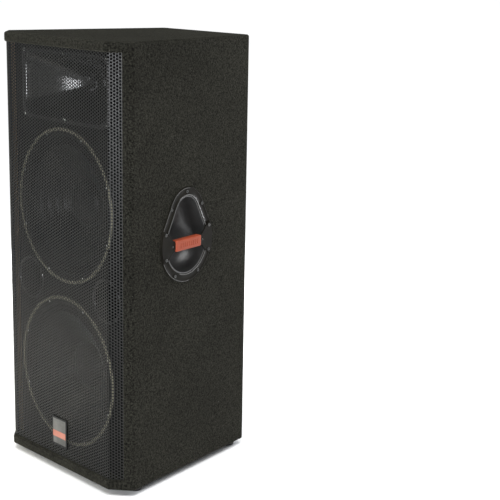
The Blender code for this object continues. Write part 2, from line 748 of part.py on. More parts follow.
def make_sleeve(name, holder):
    """The soft grip, a rounded block with the bar's hole through it."""
    sleeve = box(name, SLEEVE_SIZE, (0, BAR_Z, BAR_OUT), "orange_rubber")
    sleeve.parent = holder
    edge = sleeve.modifiers.new("rounded", "BEVEL")
    edge.width = 0.004
    edge.segments = 3
    hole = box(name + "_hole", (0.2, BAR_SIZE[1] + 2 * GAP, BAR_SIZE[2] + 2 * GAP), (0, BAR_Z, BAR_OUT))
    hole.parent = holder
    cut(sleeve, hole)


def make_handles(handles):
    for side, sign in (("left", -1), ("right", 1)):
        make_cup(side + "_handle_cup", handles[sign])
        make_bar(side + "_handle_bar", handles[sign])
        make_sleeve(side + "_grip_sleeve", handles[sign])


# ---- input plate ----
def dish_place(thing, x, z, depth):
    """Place a piece on the rear: x and z from the plate's middle, depth behind the carpet's face."""
    thing.location = (DISH_CENTRE[0] + x, REAR_Y - depth, DISH_CENTRE[1] + z)
    return thing


def make_input_dish():
    width, height = DISH_SIZE
    dish = box("input_dish", (width, DISH_SHEET, height), (0, 0, 0), "horn_plastic")
    dish_place(dish, 0, 0, -DISH_SHEET / 2 - GAP)
    pan = box("dish_pan", (DISH_OPENING[0] + 2 * DISH_SHEET, DISH_DEPTH + DISH_SHEET,
                           DISH_OPENING[1] + 2 * DISH_SHEET), (0, 0, 0))
    dish_place(pan, 0, 0, (DISH_DEPTH + DISH_SHEET) / 2 - 0.0006)
    join(dish, pan)
    hollow = box("dish_hollow", (DISH_OPENING[0], DISH_DEPTH + 0.02, DISH_OPENING[1]), (0, 0, 0))
    dish_place(hollow, 0, 0, (DISH_DEPTH + 0.02) / 2 - 0.02)
    cut(dish, hollow)
    for name, x, z, hole in socket_list():
        bore = bore_cutter(name + "_seat", hole + GAP, 0.03, (0, 0, 0))
        dish_place(bore, x, z, DISH_DEPTH)
        cut(dish, bore)


def socket_list():
    """Name, place and barrel radius of each socket, as seen from the front."""
    return [("speaker_socket_1", 0.050, 0.022, 0.0120), ("speaker_socket_2", 0.021, 0.022, 0.0120),
            ("jack_socket_1", 0.048, -0.021, 0.0085), ("jack_socket_2", 0.021, -0.021, 0.0085)]


def make_sockets():
    floor = REAR_Y - DISH_DEPTH
    for name, x, z, barrel in socket_list():
        rim = barrel + (0.0014 if barrel > 0.01 else 0.0030)
        bore = 0.0095 if barrel > 0.01 else 0.0034
        rise = 0.0030
        profile = [(rim, rise), (rim, GAP), (barrel, GAP), (barrel, -0.024), (0.0, -0.024)]
        profile += [(0.0, -0.020), (bore, -0.020), (bore, rise)]
        socket = turned(name, profile, "horn_plastic" if barrel > 0.01 else "zinc_steel", SMALL)
        socket.rotation_euler = (-pi / 2, 0, 0)
        socket.location = (DISH_CENTRE[0] + x, floor, DISH_CENTRE[1] + z)


def make_label():
    label = box("input_label", (0.062, 0.0012, 0.084), (0, 0, 0), "label_print")
    dish_place(label, -0.032, 0, DISH_DEPTH - 0.0006 - GAP)


# ---- crossover and wiring ----
def make_crossover():
    box("crossover_board", BOARD_SIZE, (0, BOARD_Y, BOARD_Z), "circuit_board")
    face = BOARD_Y - BOARD_SIZE[1] / 2 - GAP
    coil = ring("crossover_inductor", 0.026, 0.012, 0.0, 0.024, "copper")
    coil.rotation_euler = FACE_FRONT
    coil.location = (0.042, face, BOARD_Z + 0.015)
    cylinder("crossover_capacitor", 0.013, 0.045, (-0.040, face - 0.0135, BOARD_Z), "lead_vinyl")


def make_leads():
    """Leads from the crossover to each driver and from the input plate."""
    start_y = BOARD_Y - BOARD_SIZE[1] / 2 - 0.004
    routes = {
        "upper_woofer_lead": [(-0.066, start_y, 0.595), (-0.080, 0.150, 0.585), (-0.090, 0.080, 0.572),
                              (-0.100, 0.000, 0.570), (-0.098, -0.080, 0.590), (-0.0715, -0.113, 0.6205)],
        "lower_woofer_lead": [(-0.010, start_y, 0.540), (-0.020, 0.150, 0.510), (-0.030, 0.090, 0.480),
                              (-0.040, 0.060, 0.430), (-0.050, 0.020, 0.390), (-0.070, -0.060, 0.350),
                              (-0.0715, -0.113, 0.3255)],
        "input_lead": [(0.062, 0.201, 0.366), (0.060, 0.172, 0.395), (0.055, 0.130, 0.470),
                       (0.052, 0.150, 0.515), (0.050, start_y, 0.545)],
        "horn_lead": [(0.010, start_y, 0.605), (0.012, 0.150, 0.660), (0.012, 0.090, 0.760),
                      (0.010, 0.030, 0.860), (0.010, -0.022, 0.900), (0.010, -0.040, 0.9165)],
    }
    for name, knots in routes.items():
        tube_along(name, smooth_route([Vector(k) for k in knots], 3), LEAD_RADIUS, "lead_vinyl")


def build():
    handles = {1: handle_empty("right", 1), -1: handle_empty("left", -1)}
    bpy.context.view_layer.update()
    make_panels(handles)
    make_carpet(handles)
    make_grille()
    make_feet()
    make_woofer("upper", UPPER_WOOFER_Z)
    make_woofer("lower", LOWER_WOOFER_Z)
    make_horn()
    make_horn_driver()
    make_ports()
    make_handles(handles)
    make_input_dish()
    make_sockets()
    make_label()
    make_crossover()
    make_leads()


build()
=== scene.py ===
"""The visual model of the carpeted dual 15-inch loudspeaker cabinet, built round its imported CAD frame.

Units are metres, +Z is up and the front faces -Y. Places come from the frame.
"""
import json
from math import asin, atan2, cos, pi, radians, sin, tan

import bmesh
import bpy
import numpy as np
from mathutils import Matrix, Vector


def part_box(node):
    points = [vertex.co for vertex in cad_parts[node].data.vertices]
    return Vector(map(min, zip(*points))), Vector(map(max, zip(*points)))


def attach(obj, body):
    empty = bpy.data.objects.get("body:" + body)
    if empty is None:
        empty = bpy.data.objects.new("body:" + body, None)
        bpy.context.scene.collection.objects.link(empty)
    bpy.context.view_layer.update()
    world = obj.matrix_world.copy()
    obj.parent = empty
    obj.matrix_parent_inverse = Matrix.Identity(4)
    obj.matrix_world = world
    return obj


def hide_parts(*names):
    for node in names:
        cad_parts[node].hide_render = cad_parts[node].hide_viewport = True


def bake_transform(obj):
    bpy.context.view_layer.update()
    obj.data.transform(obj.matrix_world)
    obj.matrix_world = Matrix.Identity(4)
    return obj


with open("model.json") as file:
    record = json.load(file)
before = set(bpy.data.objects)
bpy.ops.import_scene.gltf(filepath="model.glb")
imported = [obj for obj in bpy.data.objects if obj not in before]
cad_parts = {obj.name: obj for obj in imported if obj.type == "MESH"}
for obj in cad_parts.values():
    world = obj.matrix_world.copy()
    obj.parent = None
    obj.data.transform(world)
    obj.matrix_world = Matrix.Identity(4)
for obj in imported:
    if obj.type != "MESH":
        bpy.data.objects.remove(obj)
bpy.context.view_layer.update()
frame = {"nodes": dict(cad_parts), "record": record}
NODES = frame["nodes"]
SLOT_OF = {part["node"]: part["material_slot"] for part in frame["record"]["subparts"]}

# ---- camera ----
CAMERA_PLACE = (2.551, -2.016, 1.2925)
VIEW_AZIMUTH = 46.36              # degrees from the front towards the cabinet's right side
VIEW_ELEVATION = 12.92
VIEW_ROLL = 1.08
LENS = 92.3                       # on a 36 mm sensor

# ---- light ----
AMBIENT = 0.16
OVERHEAD = 3.1
OVERHEAD_FROM = (0.2, -0.1, 1.0)
SOFTBOXES = [                     # name, place, aim, size, watts, colour
    ("camera_side", (1.1, -2.5, 0.8), (0, -0.2, 0.8), (0.7, 0.7), 46, (0.94, 0.97, 1.0)),
    ("front_left", (-1.7, -2.2, 1.75), (0, -0.2, 0.75), (0.7, 0.7), 2.5, (0.88, 0.94, 1.0)),
    ("right", (1.75, 1.25, 1.55), (0.2, 0, 0.65), (0.7, 0.7), 12, (0.95, 0.97, 1.0)),
    ("rear_left", (-2.1, 1.3, 0.75), (0, 0, 0.55), (1.0, 0.7), 30, (0.95, 0.97, 1.0)),
    ("rear", (-0.2, 2.7, 0.65), (0, 0.2, 0.5), (0.9, 0.7), 22, (0.95, 0.97, 1.0)),
    ("floor_pool", (-0.7, -0.95, 0.55), (-0.7, -0.95, 0), (0.7, 0.7), 8, (1.0, 0.95, 0.8)),
]

# ---- detail sizes ----
GAP = 0.0003                      # clearance between touching pieces
FELT = 0.003                      # thickness of the carpet
FELT_ROUND = 0.006                # radius of the carpet's corners
LIP_HEIGHT = 0.025                # carpeted strip above and below the grille
SIDE_BAND = 0.024                 # carpeted edge of each side, beside the grille
WOOD = 0.018

HOLE_RADIUS = 0.0031             # grille perforation, across an eight-sided hole's corners
HOLE_PITCH = 0.00764              # between holes of one column
COLUMN_PITCH = 0.007             # between columns
GRILLE_SHEET = 0.0015
GRILLE_BEND = 0.005               # outer bend radius
GRILLE_SECTIONS = ("left", "middle", "right")

PEAR_LOWER = (0.1, -0.0185)     # radius and height of the handle flange's two circles
PEAR_UPPER = (0.067, 0.051)
FLANGE_RING = 0.021
FLANGE_TOP = 0.0033
CUP_DEPTH = 0.072
CUP_SHEET = 0.0028
BAR_DROP = -0.021                 # grip's middle below the flange's middle
GRIP_OUT = 0.002                 # grip's middle outside the carpet
BAR = (0.11, 0.016, 0.01)
SLEEVE = (0.098, 0.028, 0.018)

ROUND = 96                        # sides of a large turned piece
SMALL_ROUND = 32                  # sides of a small turned piece


# ---- places read from the frame ----
def corners(node):
    """The low and the high corner of a node's box."""
    low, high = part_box(node)
    return Vector(low), Vector(high)


def middle(node):
    low, high = corners(node)
    return (low + high) / 2


def half_width(node, y):
    """Half the width of a node's mesh in the plane at y."""
    return max(abs(v.co.x) for v in NODES[node].data.vertices if abs(v.co.y - y) < 0.0001)


COVER_LOW, COVER_HIGH = corners("carpet_cover")
FRONT_Y, REAR_Y = COVER_LOW.y, COVER_HIGH.y
BOTTOM_Z, TOP_Z = COVER_LOW.z, COVER_HIGH.z
CORNER_HALF = COVER_HIGH.x
CORNER_Y = min(v.co.y for v in NODES["carpet_cover"].data.vertices if v.co.x > CORNER_HALF - 0.0001)
FRONT_HALF = half_width("carpet_cover", FRONT_Y)
REAR_HALF = half_width("carpet_cover", REAR_Y)
BAFFLE_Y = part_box("front_baffle")[0][1]
SIDE_TURN = atan2(CORNER_HALF - REAR_HALF, REAR_Y - CORNER_Y)

FACING_FRONT = Matrix(((1, 0, 0), (0, 0, -1), (0, 1, 0))).to_4x4()
FACING_REAR = Matrix(((-1, 0, 0), (0, 0, 1), (0, 1, 0))).to_4x4()


def on_baffle(x, z):
    """Local Z points forwards from the baffle's face at x and z."""
    return Matrix.Translation((x, BAFFLE_Y, z)) @ FACING_FRONT


def facing(node, y, turn):
    """Local Z points forwards or rearwards from the plane at y, in line with a node's middle."""
    centre = middle(node)
    return Matrix.Translation((centre.x, y, centre.z)) @ turn


def ring_sizes(node):
    """Radius of a ring on the baffle, and how far its front and its back stand out of the baffle's face."""
    low, high = corners(node)
    return (high.x - low.x) / 2, BAFFLE_Y - low.y, BAFFLE_Y - high.y


def on_side(sign):
    """Local Y points up and local Z out of the side's carpet, from the middle of the handle's flange."""
    outward = Vector((cos(SIDE_TURN) * sign, sin(SIDE_TURN), 0))
    up = Vector((0, 0, 1))
    grip = middle("right_grip_sleeve" if sign > 0 else "left_grip_sleeve")
    place = grip - outward * GRIP_OUT - up * BAR_DROP
    turn = Matrix((up.cross(outward), up, outward)).transposed()
    return Matrix.Translation(place) @ turn.to_4x4()


# ---- mesh helpers ----
def mesh_of(shape, name="shape"):
    """Turn a bmesh into a mesh and free it."""
    mesh = bpy.data.meshes.new(name)
    shape.to_mesh(mesh)
    shape.free()
    return mesh


def bmesh_of(mesh):
    shape = bmesh.new()
    shape.from_mesh(mesh)
    return shape


def evaluated(holder):
    """A holder object's mesh with its modifiers applied. The holder is removed."""
    bpy.context.view_layer.update()
    result = bpy.data.meshes.new_from_object(holder.evaluated_get(bpy.context.evaluated_depsgraph_get()))
    bpy.data.objects.remove(holder, do_unlink=True)
    return result


def new_object(name, data):
    """A new object in the scene."""
    thing = bpy.data.objects.new(name, data)
    bpy.context.scene.collection.objects.link(thing)
    return thing


def modified(mesh, kind, **settings):
    """The mesh after one modifier."""
    holder = new_object("holder", mesh)
    modifier = holder.modifiers.new(kind.lower(), kind)
    for key, value in settings.items():
        setattr(modifier, key, value)
    return evaluated(holder)


def combined(mesh, tools, operation="DIFFERENCE"):
    """The mesh after one Boolean with each tool mesh."""
    holder = new_object("holder", mesh)
    helpers = []
    for tool in tools:
        helper = new_object("holder", tool)
        helpers.append(helper)
        modifier = holder.modifiers.new("combine", "BOOLEAN")
        modifier.operation = operation
        modifier.solver = "EXACT"
        modifier.object = helper
    result = evaluated(holder)
    for helper in helpers:
        bpy.data.objects.remove(helper, do_unlink=True)
    return result


def gathered(meshes):
    """Several meshes as one, each staying its own body."""
    shape = bmesh.new()
    for mesh in meshes:
        shape.from_mesh(mesh)
    return mesh_of(shape)


def moved(mesh, matrix):
    copy = mesh.copy()
    copy.transform(matrix)
    return copy


def rounded_box(size, centre=(0, 0, 0), radius=0.0, segments=3):
    shape = bmesh.new()
    bmesh.ops.create_cube(shape, size=1.0)
    bmesh.ops.scale(shape, vec=size, verts=shape.verts)
    bmesh.ops.translate(shape, vec=centre, verts=shape.verts)
    if radius:
        bmesh.ops.bevel(shape, geom=shape.edges[:], offset=radius, segments=segments, profile=0.5,
                        affect="EDGES")
    return mesh_of(shape)


def prism(points, low, high):
    """A flat outline, counter-clockwise in X and Y, given thickness from low to high."""
    shape = bmesh.new()
    base = [shape.verts.new((p[0], p[1], low)) for p in points]
    face = shape.faces.new(base)
    raised = bmesh.ops.extrude_face_region(shape, geom=[face])
    verts = [item for item in raised["geom"] if isinstance(item, bmesh.types.BMVert)]
    bmesh.ops.translate(shape, vec=(0, 0, high - low), verts=verts)
    bmesh.ops.recalc_face_normals(shape, faces=shape.faces)
    return mesh_of(shape)


def skinned(rows, rows_closed=False):
    """A surface through closed rows of points. A row of one point is a pole."""
    shape = bmesh.new()
    lines = [[shape.verts.new(point) for point in row] for row in rows]
    following = lines[1:] + (lines[:1] if rows_closed else [])
    for near, far in zip(lines, following):
        count = max(len(near), len(far))
        for i in range(count):
            j = (i + 1) % count
            face = []
            for vert in (near[i % len(near)], near[j % len(near)], far[j % len(far)], far[i % len(far)]):
                if vert not in face:
                    face.append(vert)
            if len(face) > 2:
                shape.faces.new(face)
    return shape


def circle(radius, count, start=0):
    """Points of a circle, from a start angle in radians."""
    angles = [start + 2 * pi * i / count for i in range(count)]
    return [(radius * cos(a), radius * sin(a)) for a in angles]


def turned(profile, sides=ROUND, closed=True):
    """A profile of (radius, height) points turned about Z. A closed one joins its last point to its first."""
    rows = []
    for radius, height in profile:
        on_axis = radius < 1e-7
        rows.append([(0, 0, height)] if on_axis else [(x, y, height) for x, y in circle(radius, sides)])
    shape = skinned(rows, rows_closed=closed)
    bmesh.ops.recalc_face_normals(shape, faces=shape.faces)
    return mesh_of(shape)


def round_cutter(radius, reach=0.01):
    """A round tool for cutting a bore through the plane Z = 0."""
    return turned([(radius, reach), (radius, -reach), (0, -reach), (0, reach)], SMALL_ROUND, closed=False)


def arc(centre, radius, start, end, steps):
    """Points of (across, up) on an arc. Angles are in degrees."""
    angles = [radians(start + (end - start) * i / steps) for i in range(steps + 1)]
    return [(centre[0] + radius * cos(a), centre[1] + radius * sin(a)) for a in angles]


# ---- material helpers ----
def new_look(name, roughness, metallic=0.0, specular=0.5):
    """A material, its node tree and its shader."""
    look = bpy.data.materials.new(name)
    look.use_nodes = True
    shader = look.node_tree.nodes["Principled BSDF"]
    shader.inputs["Roughness"].default_value = roughness
    shader.inputs["Metallic"].default_value = metallic
    shader.inputs["Specular IOR Level"].default_value = specular
    return look, look.node_tree, shader


def noise(tree, scale, detail=2.0, stretch=(1, 1, 1), roughness=0.5):
    """Noise in the piece's own space. Scale is about the number of features in a metre."""
    place = tree.nodes.new("ShaderNodeTexCoord")
    mapping = tree.nodes.new("ShaderNodeMapping")
    mapping.inputs["Scale"].default_value = stretch
    texture = tree.nodes.new("ShaderNodeTexNoise")
    texture.inputs["Scale"].default_value = scale
    texture.inputs["Detail"].default_value = detail
    texture.inputs["Roughness"].default_value = roughness
    tree.links.new(place.outputs["Object"], mapping.inputs["Vector"])
    tree.links.new(mapping.outputs["Vector"], texture.inputs["Vector"])
    return texture.outputs[0]


def ramp(tree, source, stops):
    """Colours along a value. Stops are (position, colour or grey)."""
    node = tree.nodes.new("ShaderNodeValToRGB")
    band = node.color_ramp
    while len(band.elements) < len(stops):
        band.elements.new(0.5)
    for element, (position, colour) in zip(band.elements, stops):
        element.position = position
        grey = isinstance(colour, (int, float))
        element.color = (colour, colour, colour, 1) if grey else (*colour, 1)
    tree.links.new(source, node.inputs[0])
    return node.outputs[0]


def mixed(tree, share, first, second, blend="MIX"):
    """Mix two colours. Each is a socket or a constant."""
    node = tree.nodes.new("ShaderNodeMix")
    node.data_type = "RGBA"
    node.blend_type = blend
    for socket, value in ((node.inputs[0], share), (node.inputs[6], first), (node.inputs[7], second)):
        if isinstance(value, bpy.types.NodeSocket):
            tree.links.new(value, socket)
        elif isinstance(value, tuple):
            socket.default_value = (*value, 1)
        else:
            socket.default_value = value
    return node.outputs[2]


def relief(tree, shader, heights):
    """Bump the shader by (height socket, strength, distance) layers."""
    last = None
    for height, strength, distance in heights:
        node = tree.nodes.new("ShaderNodeBump")
        node.inputs["Strength"].default_value = strength
        node.inputs["Distance"].default_value = distance
        tree.links.new(height, node.inputs["Height"])
        if last:
            tree.links.new(last, node.inputs["Normal"])
        last = node.outputs["Normal"]
    tree.links.new(last, shader.inputs["Normal"])


def drive(tree, shader, socket, source, stops):
    """Set one of the shader's sockets from a value, through a ramp."""
    tree.links.new(ramp(tree, source, stops), shader.inputs[socket])


def moulded(name, dark, light, rough_low, rough_high, grain=1400, grain_height=0.00006, specular=0.5):
    """Plastic, rubber or paint: a faintly uneven colour, gloss and fine surface grain."""
    look, tree, shader = new_look(name, rough_low, specular=specular)
    drive(tree, shader, "Base Color", noise(tree, 24, 4), [(0.35, dark), (0.65, light)])
    drive(tree, shader, "Roughness", noise(tree, 60, 5), [(0.35, rough_low), (0.7, rough_high)])
    relief(tree, shader, [(noise(tree, grain, 2), 0.5, grain_height)])
    return look


# ---- materials ----
def felt_look():
    """Needled felt: clumped fibres, slightly olive, with a few pale bits of lint."""
    look, tree, shader = new_look("felt", 0.96, specular=0.06)
    shader.inputs["Sheen Weight"].default_value = 0.1
    shader.inputs["Sheen Roughness"].default_value = 0.45
    shader.inputs["Sheen Tint"].default_value = (0.66, 0.64, 0.5, 1)
    clumps = noise(tree, 230, 3, roughness=0.65)
    fibres = noise(tree, 900, 3, roughness=0.7)
    base = ramp(tree, clumps, [(0.36, (0.0016, 0.0016, 0.0013)), (0.68, (0.031, 0.0302, 0.024))])
    fuzz = ramp(tree, fibres, [(0.3, 0.45), (0.72, 1.55)])
    cloth = mixed(tree, 1.0, base, fuzz, "MULTIPLY")
    patches = ramp(tree, noise(tree, 7, 3), [(0.35, 0.86), (0.65, 1.14)])
    cloth = mixed(tree, 1.0, cloth, patches, "MULTIPLY")
    lint = ramp(tree, noise(tree, 330, 1), [(0.745, 0.0), (0.775, 1.0)])
    cloth = mixed(tree, lint, cloth, (0.085, 0.082, 0.07))
    tree.links.new(cloth, shader.inputs["Base Color"])
    relief(tree, shader, [(fibres, 0.6, 0.0009), (clumps, 0.6, 0.0016)])
    return look


def powder_coat_look():
    """Black powder coat on steel: satin with orange peel."""
    look, tree, shader = new_look("powder_coat", 0.34, specular=0.22)
    dark, light = (0.01, 0.01, 0.0091), (0.015, 0.015, 0.0133)
    drive(tree, shader, "Base Color", noise(tree, 15, 3), [(0.3, dark), (0.7, light)])
    drive(tree, shader, "Roughness", noise(tree, 220, 3), [(0.3, 0.3), (0.7, 0.44)])
    relief(tree, shader, [(noise(tree, 1500, 2), 0.35, 0.00012)])
    return look


def sprayed_front(tree, wood, paint):
    """Paint over the wood in front of the baffle's face."""
    place = tree.nodes.new("ShaderNodeTexCoord")
    split = tree.nodes.new("ShaderNodeSeparateXYZ")
    tree.links.new(place.outputs["Object"], split.inputs[0])
    edge = tree.nodes.new("ShaderNodeMath")
    edge.operation = "LESS_THAN"
    edge.inputs[1].default_value = BAFFLE_Y + 2 * GAP
    tree.links.new(split.outputs["Y"], edge.inputs[0])
    return mixed(tree, edge.outputs[0], wood, paint)


def wood_look(name, dark, light, specular=0.5):
    """Plywood with long grain up the panels, sprayed black in front of the baffle."""
    look, tree, shader = new_look(name, 0.62, specular=specular)
    grain = noise(tree, 60, 6, stretch=(1, 1, 0.06), roughness=0.65)
    wood = ramp(tree, grain, [(0.35, dark), (0.62, light)])
    tree.links.new(sprayed_front(tree, wood, (0.002, 0.002, 0.002)), shader.inputs["Base Color"])
    drive(tree, shader, "Roughness", grain, [(0.3, 0.72), (0.7, 0.52)])
    relief(tree, shader, [(grain, 0.3, 0.0006)])
    return look


def fibre_look(name, dark, light, scale=450, roughness=0.85, specular=0.5):
    """Paper, card or cloth: short fibres in colour and relief."""
    look, tree, shader = new_look(name, roughness, specular=specular)
    fibres = noise(tree, scale, 4, roughness=0.65)
    mottle = noise(tree, scale / 12, 3)
    base = ramp(tree, fibres, [(0.33, dark), (0.68, light)])
    tint = ramp(tree, mottle, [(0.3, 0.82), (0.7, 1.15)])
    tree.links.new(mixed(tree, 1.0, base, tint, "MULTIPLY"), shader.inputs["Base Color"])
    relief(tree, shader, [(fibres, 0.5, 0.0005)])
    return look


def metal_look(name, dark, light, rough_low, rough_high, stretch=(1, 1, 1), scale=300):
    """Bare or plated metal with fine marks in its gloss."""
    look, tree, shader = new_look(name, rough_low, 1.0)
    marks = noise(tree, scale, 4, stretch=stretch)
    drive(tree, shader, "Base Color", noise(tree, 35, 3), [(0.3, dark), (0.7, light)])
    drive(tree, shader, "Roughness", marks, [(0.3, rough_low), (0.7, rough_high)])
    relief(tree, shader, [(marks, 0.2, 0.00008)])
    return look


def label_look():
    """A printed sheet with generic blocks and rules, no lettering."""
    look, tree, shader = new_look("printed_sheet", 0.42)
    place = tree.nodes.new("ShaderNodeTexCoord")
    bricks = tree.nodes.new("ShaderNodeTexBrick")
    turn = tree.nodes.new("ShaderNodeMapping")
    turn.inputs["Rotation"].default_value = (pi / 2, 0, 0)
    tree.links.new(place.outputs["Object"], turn.inputs["Vector"])
    tree.links.new(turn.outputs["Vector"], bricks.inputs["Vector"])
    settings = {"Scale": 1.0, "Brick Width": 0.017, "Row Height": 0.0075, "Mortar Size": 0.0014,
                "Color1": (0.56, 0.56, 0.57, 1), "Color2": (0.3, 0.3, 0.31, 1),
                "Mortar": (0.018, 0.018, 0.018, 1)}
    for key, value in settings.items():
        bricks.inputs[key].default_value = value
    tint = ramp(tree, noise(tree, 300, 3), [(0.3, 0.85), (0.7, 1.1)])
    tree.links.new(mixed(tree, 1.0, bricks.outputs["Color"], tint, "MULTIPLY"), shader.inputs["Base Color"])
    relief(tree, shader, [(noise(tree, 900, 2), 0.25, 0.00006)])
    return look


LOOKS = {
    "carpet": felt_look(),
    "grille_steel": powder_coat_look(),
    "plywood": wood_look("plywood", (0.24, 0.15, 0.075), (0.46, 0.32, 0.18)),
    "black_stain": wood_look("black_stained_plywood", 0.0012, (0.0032, 0.003, 0.0028), specular=0.06),
    "basket_steel": moulded("basket_enamel", 0.004, 0.008, 0.4, 0.55, specular=0.2),
    "paper_cone": fibre_look("paper_pulp", 0.0015, (0.004, 0.004, 0.0038), 380, 0.3, specular=0.28),
    "olive_gasket": fibre_look("pressed_fibre", (0.18, 0.17, 0.12), (0.34, 0.32, 0.235), 520, 0.8),
    "surround_cloth": fibre_look("doped_cloth", 0.002, (0.005, 0.005, 0.0048), 800, 0.55, specular=0.15),
    "spider_cloth": fibre_look("dipped_cloth", (0.34, 0.22, 0.09), (0.52, 0.38, 0.18), 900, 0.75),
    "ferrite": moulded("ferrite", (0.04, 0.04, 0.044), (0.06, 0.06, 0.066), 0.5, 0.7, 700, 0.00015),
    "zinc_steel": metal_look("zinc_plate", (0.52, 0.52, 0.49), (0.68, 0.68, 0.66), 0.24, 0.42),
    "copper": metal_look("enamelled_wire", (0.6, 0.24, 0.11), (0.78, 0.38, 0.2), 0.28, 0.42,
                         (1, 1, 8), 260),
    "titanium": metal_look("titanium", (0.46, 0.46, 0.48), (0.58, 0.58, 0.6), 0.22, 0.36),
    "horn_plastic": moulded("gloss_moulding", (0.003, 0.003, 0.0032), (0.006, 0.006, 0.0064), 0.11, 0.18,
                            1100, specular=1.0),
    "handle_plastic": moulded("satin_moulding", (0.006, 0.0052, 0.0036), (0.01, 0.0088, 0.0062), 0.46, 0.58,
                              specular=0.09),
    # the bowl's plastic: glossier than the flange, and lighter as a painted highlight
    "bowl_painted_highlight": moulded("gloss_bowl_painted_highlight", (0.022, 0.022, 0.0215), (0.034, 0.034, 0.033), 0.3, 0.38,
                         900, 0.00012, specular=1.0),
    "orange_rubber": moulded("grip_rubber", (0.27, 0.043, 0.015), (0.34, 0.059, 0.022), 0.45, 0.6,
                              1000, 0.0001, specular=0.35),
    "black_rubber": moulded("foot_rubber", 0.012, (0.022, 0.022, 0.021), 0.62, 0.8, 600, 0.0002),
    "label_print": label_look(),
    "circuit_board": moulded("solder_resist", (0.03, 0.12, 0.045), (0.05, 0.17, 0.07), 0.3, 0.45, 500),
    "lead_vinyl": moulded("lead_vinyl", 0.012, (0.026, 0.026, 0.027), 0.42, 0.58, 900),
    # a lighter colour for the lit side of the handle's beads: a painted highlight
    "bead_painted_highlight": moulded("bead_painted_highlight", (0.026, 0.025, 0.022), (0.05, 0.048, 0.043), 0.24, 0.34,
                         specular=1.0),
    "zinc_black": metal_look("blackened_zinc", 0.06, (0.12, 0.12, 0.115), 0.26, 0.4),
    "badge_paint": moulded("badge_paint", (0.36, 0.115, 0.07), (0.44, 0.15, 0.098), 0.35, 0.5),
    "badge_metal": metal_look("badge_plate", (0.105, 0.105, 0.1), (0.16, 0.16, 0.152), 0.34, 0.5,
                              (0.05, 1, 1), 700),
}


def add_piece(name, mesh, look, body="cabinet", stands_for=None, sharp=35, weighted=False):
    """Put a finished mesh in the scene as a piece that rides on a body."""
    mesh.name = name
    piece = new_object(name, mesh)
    mesh.materials.clear()
    mesh.materials.append(LOOKS[look])
    mesh.shade_smooth()
    mesh.set_sharp_from_angle(angle=radians(sharp))
    if weighted:
        normals = piece.modifiers.new("flat_faces_stay_flat", "WEIGHTED_NORMAL")
        normals.keep_sharp = True
        normals.weight = 100
    if body:
        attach(piece, body)
    if stands_for:
        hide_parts(stands_for)
    return piece


# ---- the cabinet's plan ----
def line_offset(start, end, distance):
    """A line moved to its left by a distance, as a point and a direction."""
    direction = (Vector(end) - Vector(start)).normalized()
    return Vector(start) + Vector((-direction.y, direction.x)) * distance, direction


def crossing(first, second):
    """Where two lines, each a point and a direction, cross."""
    (p, u), (q, v) = first, second
    return p + u * ((q - p).cross(v) / u.cross(v))


def outline(front, chamfer, side, rear):
    """The plan with each edge moved inwards by its own distance, counter-clockwise from the front left."""
    plan = [(-FRONT_HALF, FRONT_Y), (FRONT_HALF, FRONT_Y), (CORNER_HALF, CORNER_Y),
            (REAR_HALF, REAR_Y), (-REAR_HALF, REAR_Y), (-CORNER_HALF, CORNER_Y)]
    insets = [front, chamfer, side, rear, side, chamfer]
    edges = [line_offset(plan[i], plan[(i + 1) % 6], insets[i]) for i in range(6)]
    return [crossing(edges[i - 1], edges[i]) for i in range(6)]


def clip_front(points, y):
    """Cut a plan outline off in front of a line across it."""
    kept = []
    for a, b in zip(points, points[1:] + points[:1]):
        if a.y >= y:
            kept.append(a)
        if (a.y - y) * (b.y - y) < 0:
            kept.append(a + (b - a) * ((y - a.y) / (b.y - a.y)))
    return kept


def clip_rear(points, y):
    """Cut a plan outline off behind a line across it."""
    flipped = [Vector((p.x, -p.y)) for p in reversed(points)]
    return [Vector((p.x, -p.y)) for p in reversed(clip_front(flipped, -y))]


def pear(offset, count=72):
    """The handle's outline, grown by an offset: the hull of a large lower and a small upper circle."""
    lower, lower_z = PEAR_LOWER[0] + offset, PEAR_LOWER[1]
    upper, upper_z = PEAR_UPPER[0] + offset, PEAR_UPPER[1]
    lean = asin((lower - upper) / (upper_z - lower_z))
    upper_count = round(count * (pi - 2 * lean) / (2 * pi))
    lower_count = count - upper_count
    points = [(upper * cos(a), upper_z + upper * sin(a))
              for a in (lean + (pi - 2 * lean) * i / (upper_count - 1) for i in range(upper_count))]
    points += [(lower * cos(a), lower_z + lower * sin(a))
               for a in (pi - lean + (pi + 2 * lean) * i / (lower_count - 1) for i in range(lower_count))]
    return points


# ---- felt cover ----
def round_convex_edges(mesh, radius):
    """Round every outward corner of a solid."""
    shape = bmesh_of(mesh)
    bmesh.ops.dissolve_limit(shape, angle_limit=radians(1), verts=shape.verts, edges=shape.edges)
    edges = [e for e in shape.edges if len(e.link_faces) == 2 and e.is_convex
             and e.calc_face_angle() > radians(8)]
    bmesh.ops.bevel(shape, geom=edges, offset=radius, segments=4, profile=0.5, affect="EDGES")
    return mesh_of(shape)


def slot_behind_band(sign):
    """Plan of a side panel's front end: between the felt outside and the felt inside it."""
    outside = outline(0, FELT, FELT, FELT)
    inside = outline(0, FELT, WOOD + FELT + 2 * GAP, FELT)
    points = [inside[2], outside[2], outside[3], inside[3]]
    if sign > 0:
        return points
    return [Vector((-p.x, p.y)) for p in reversed(points)]


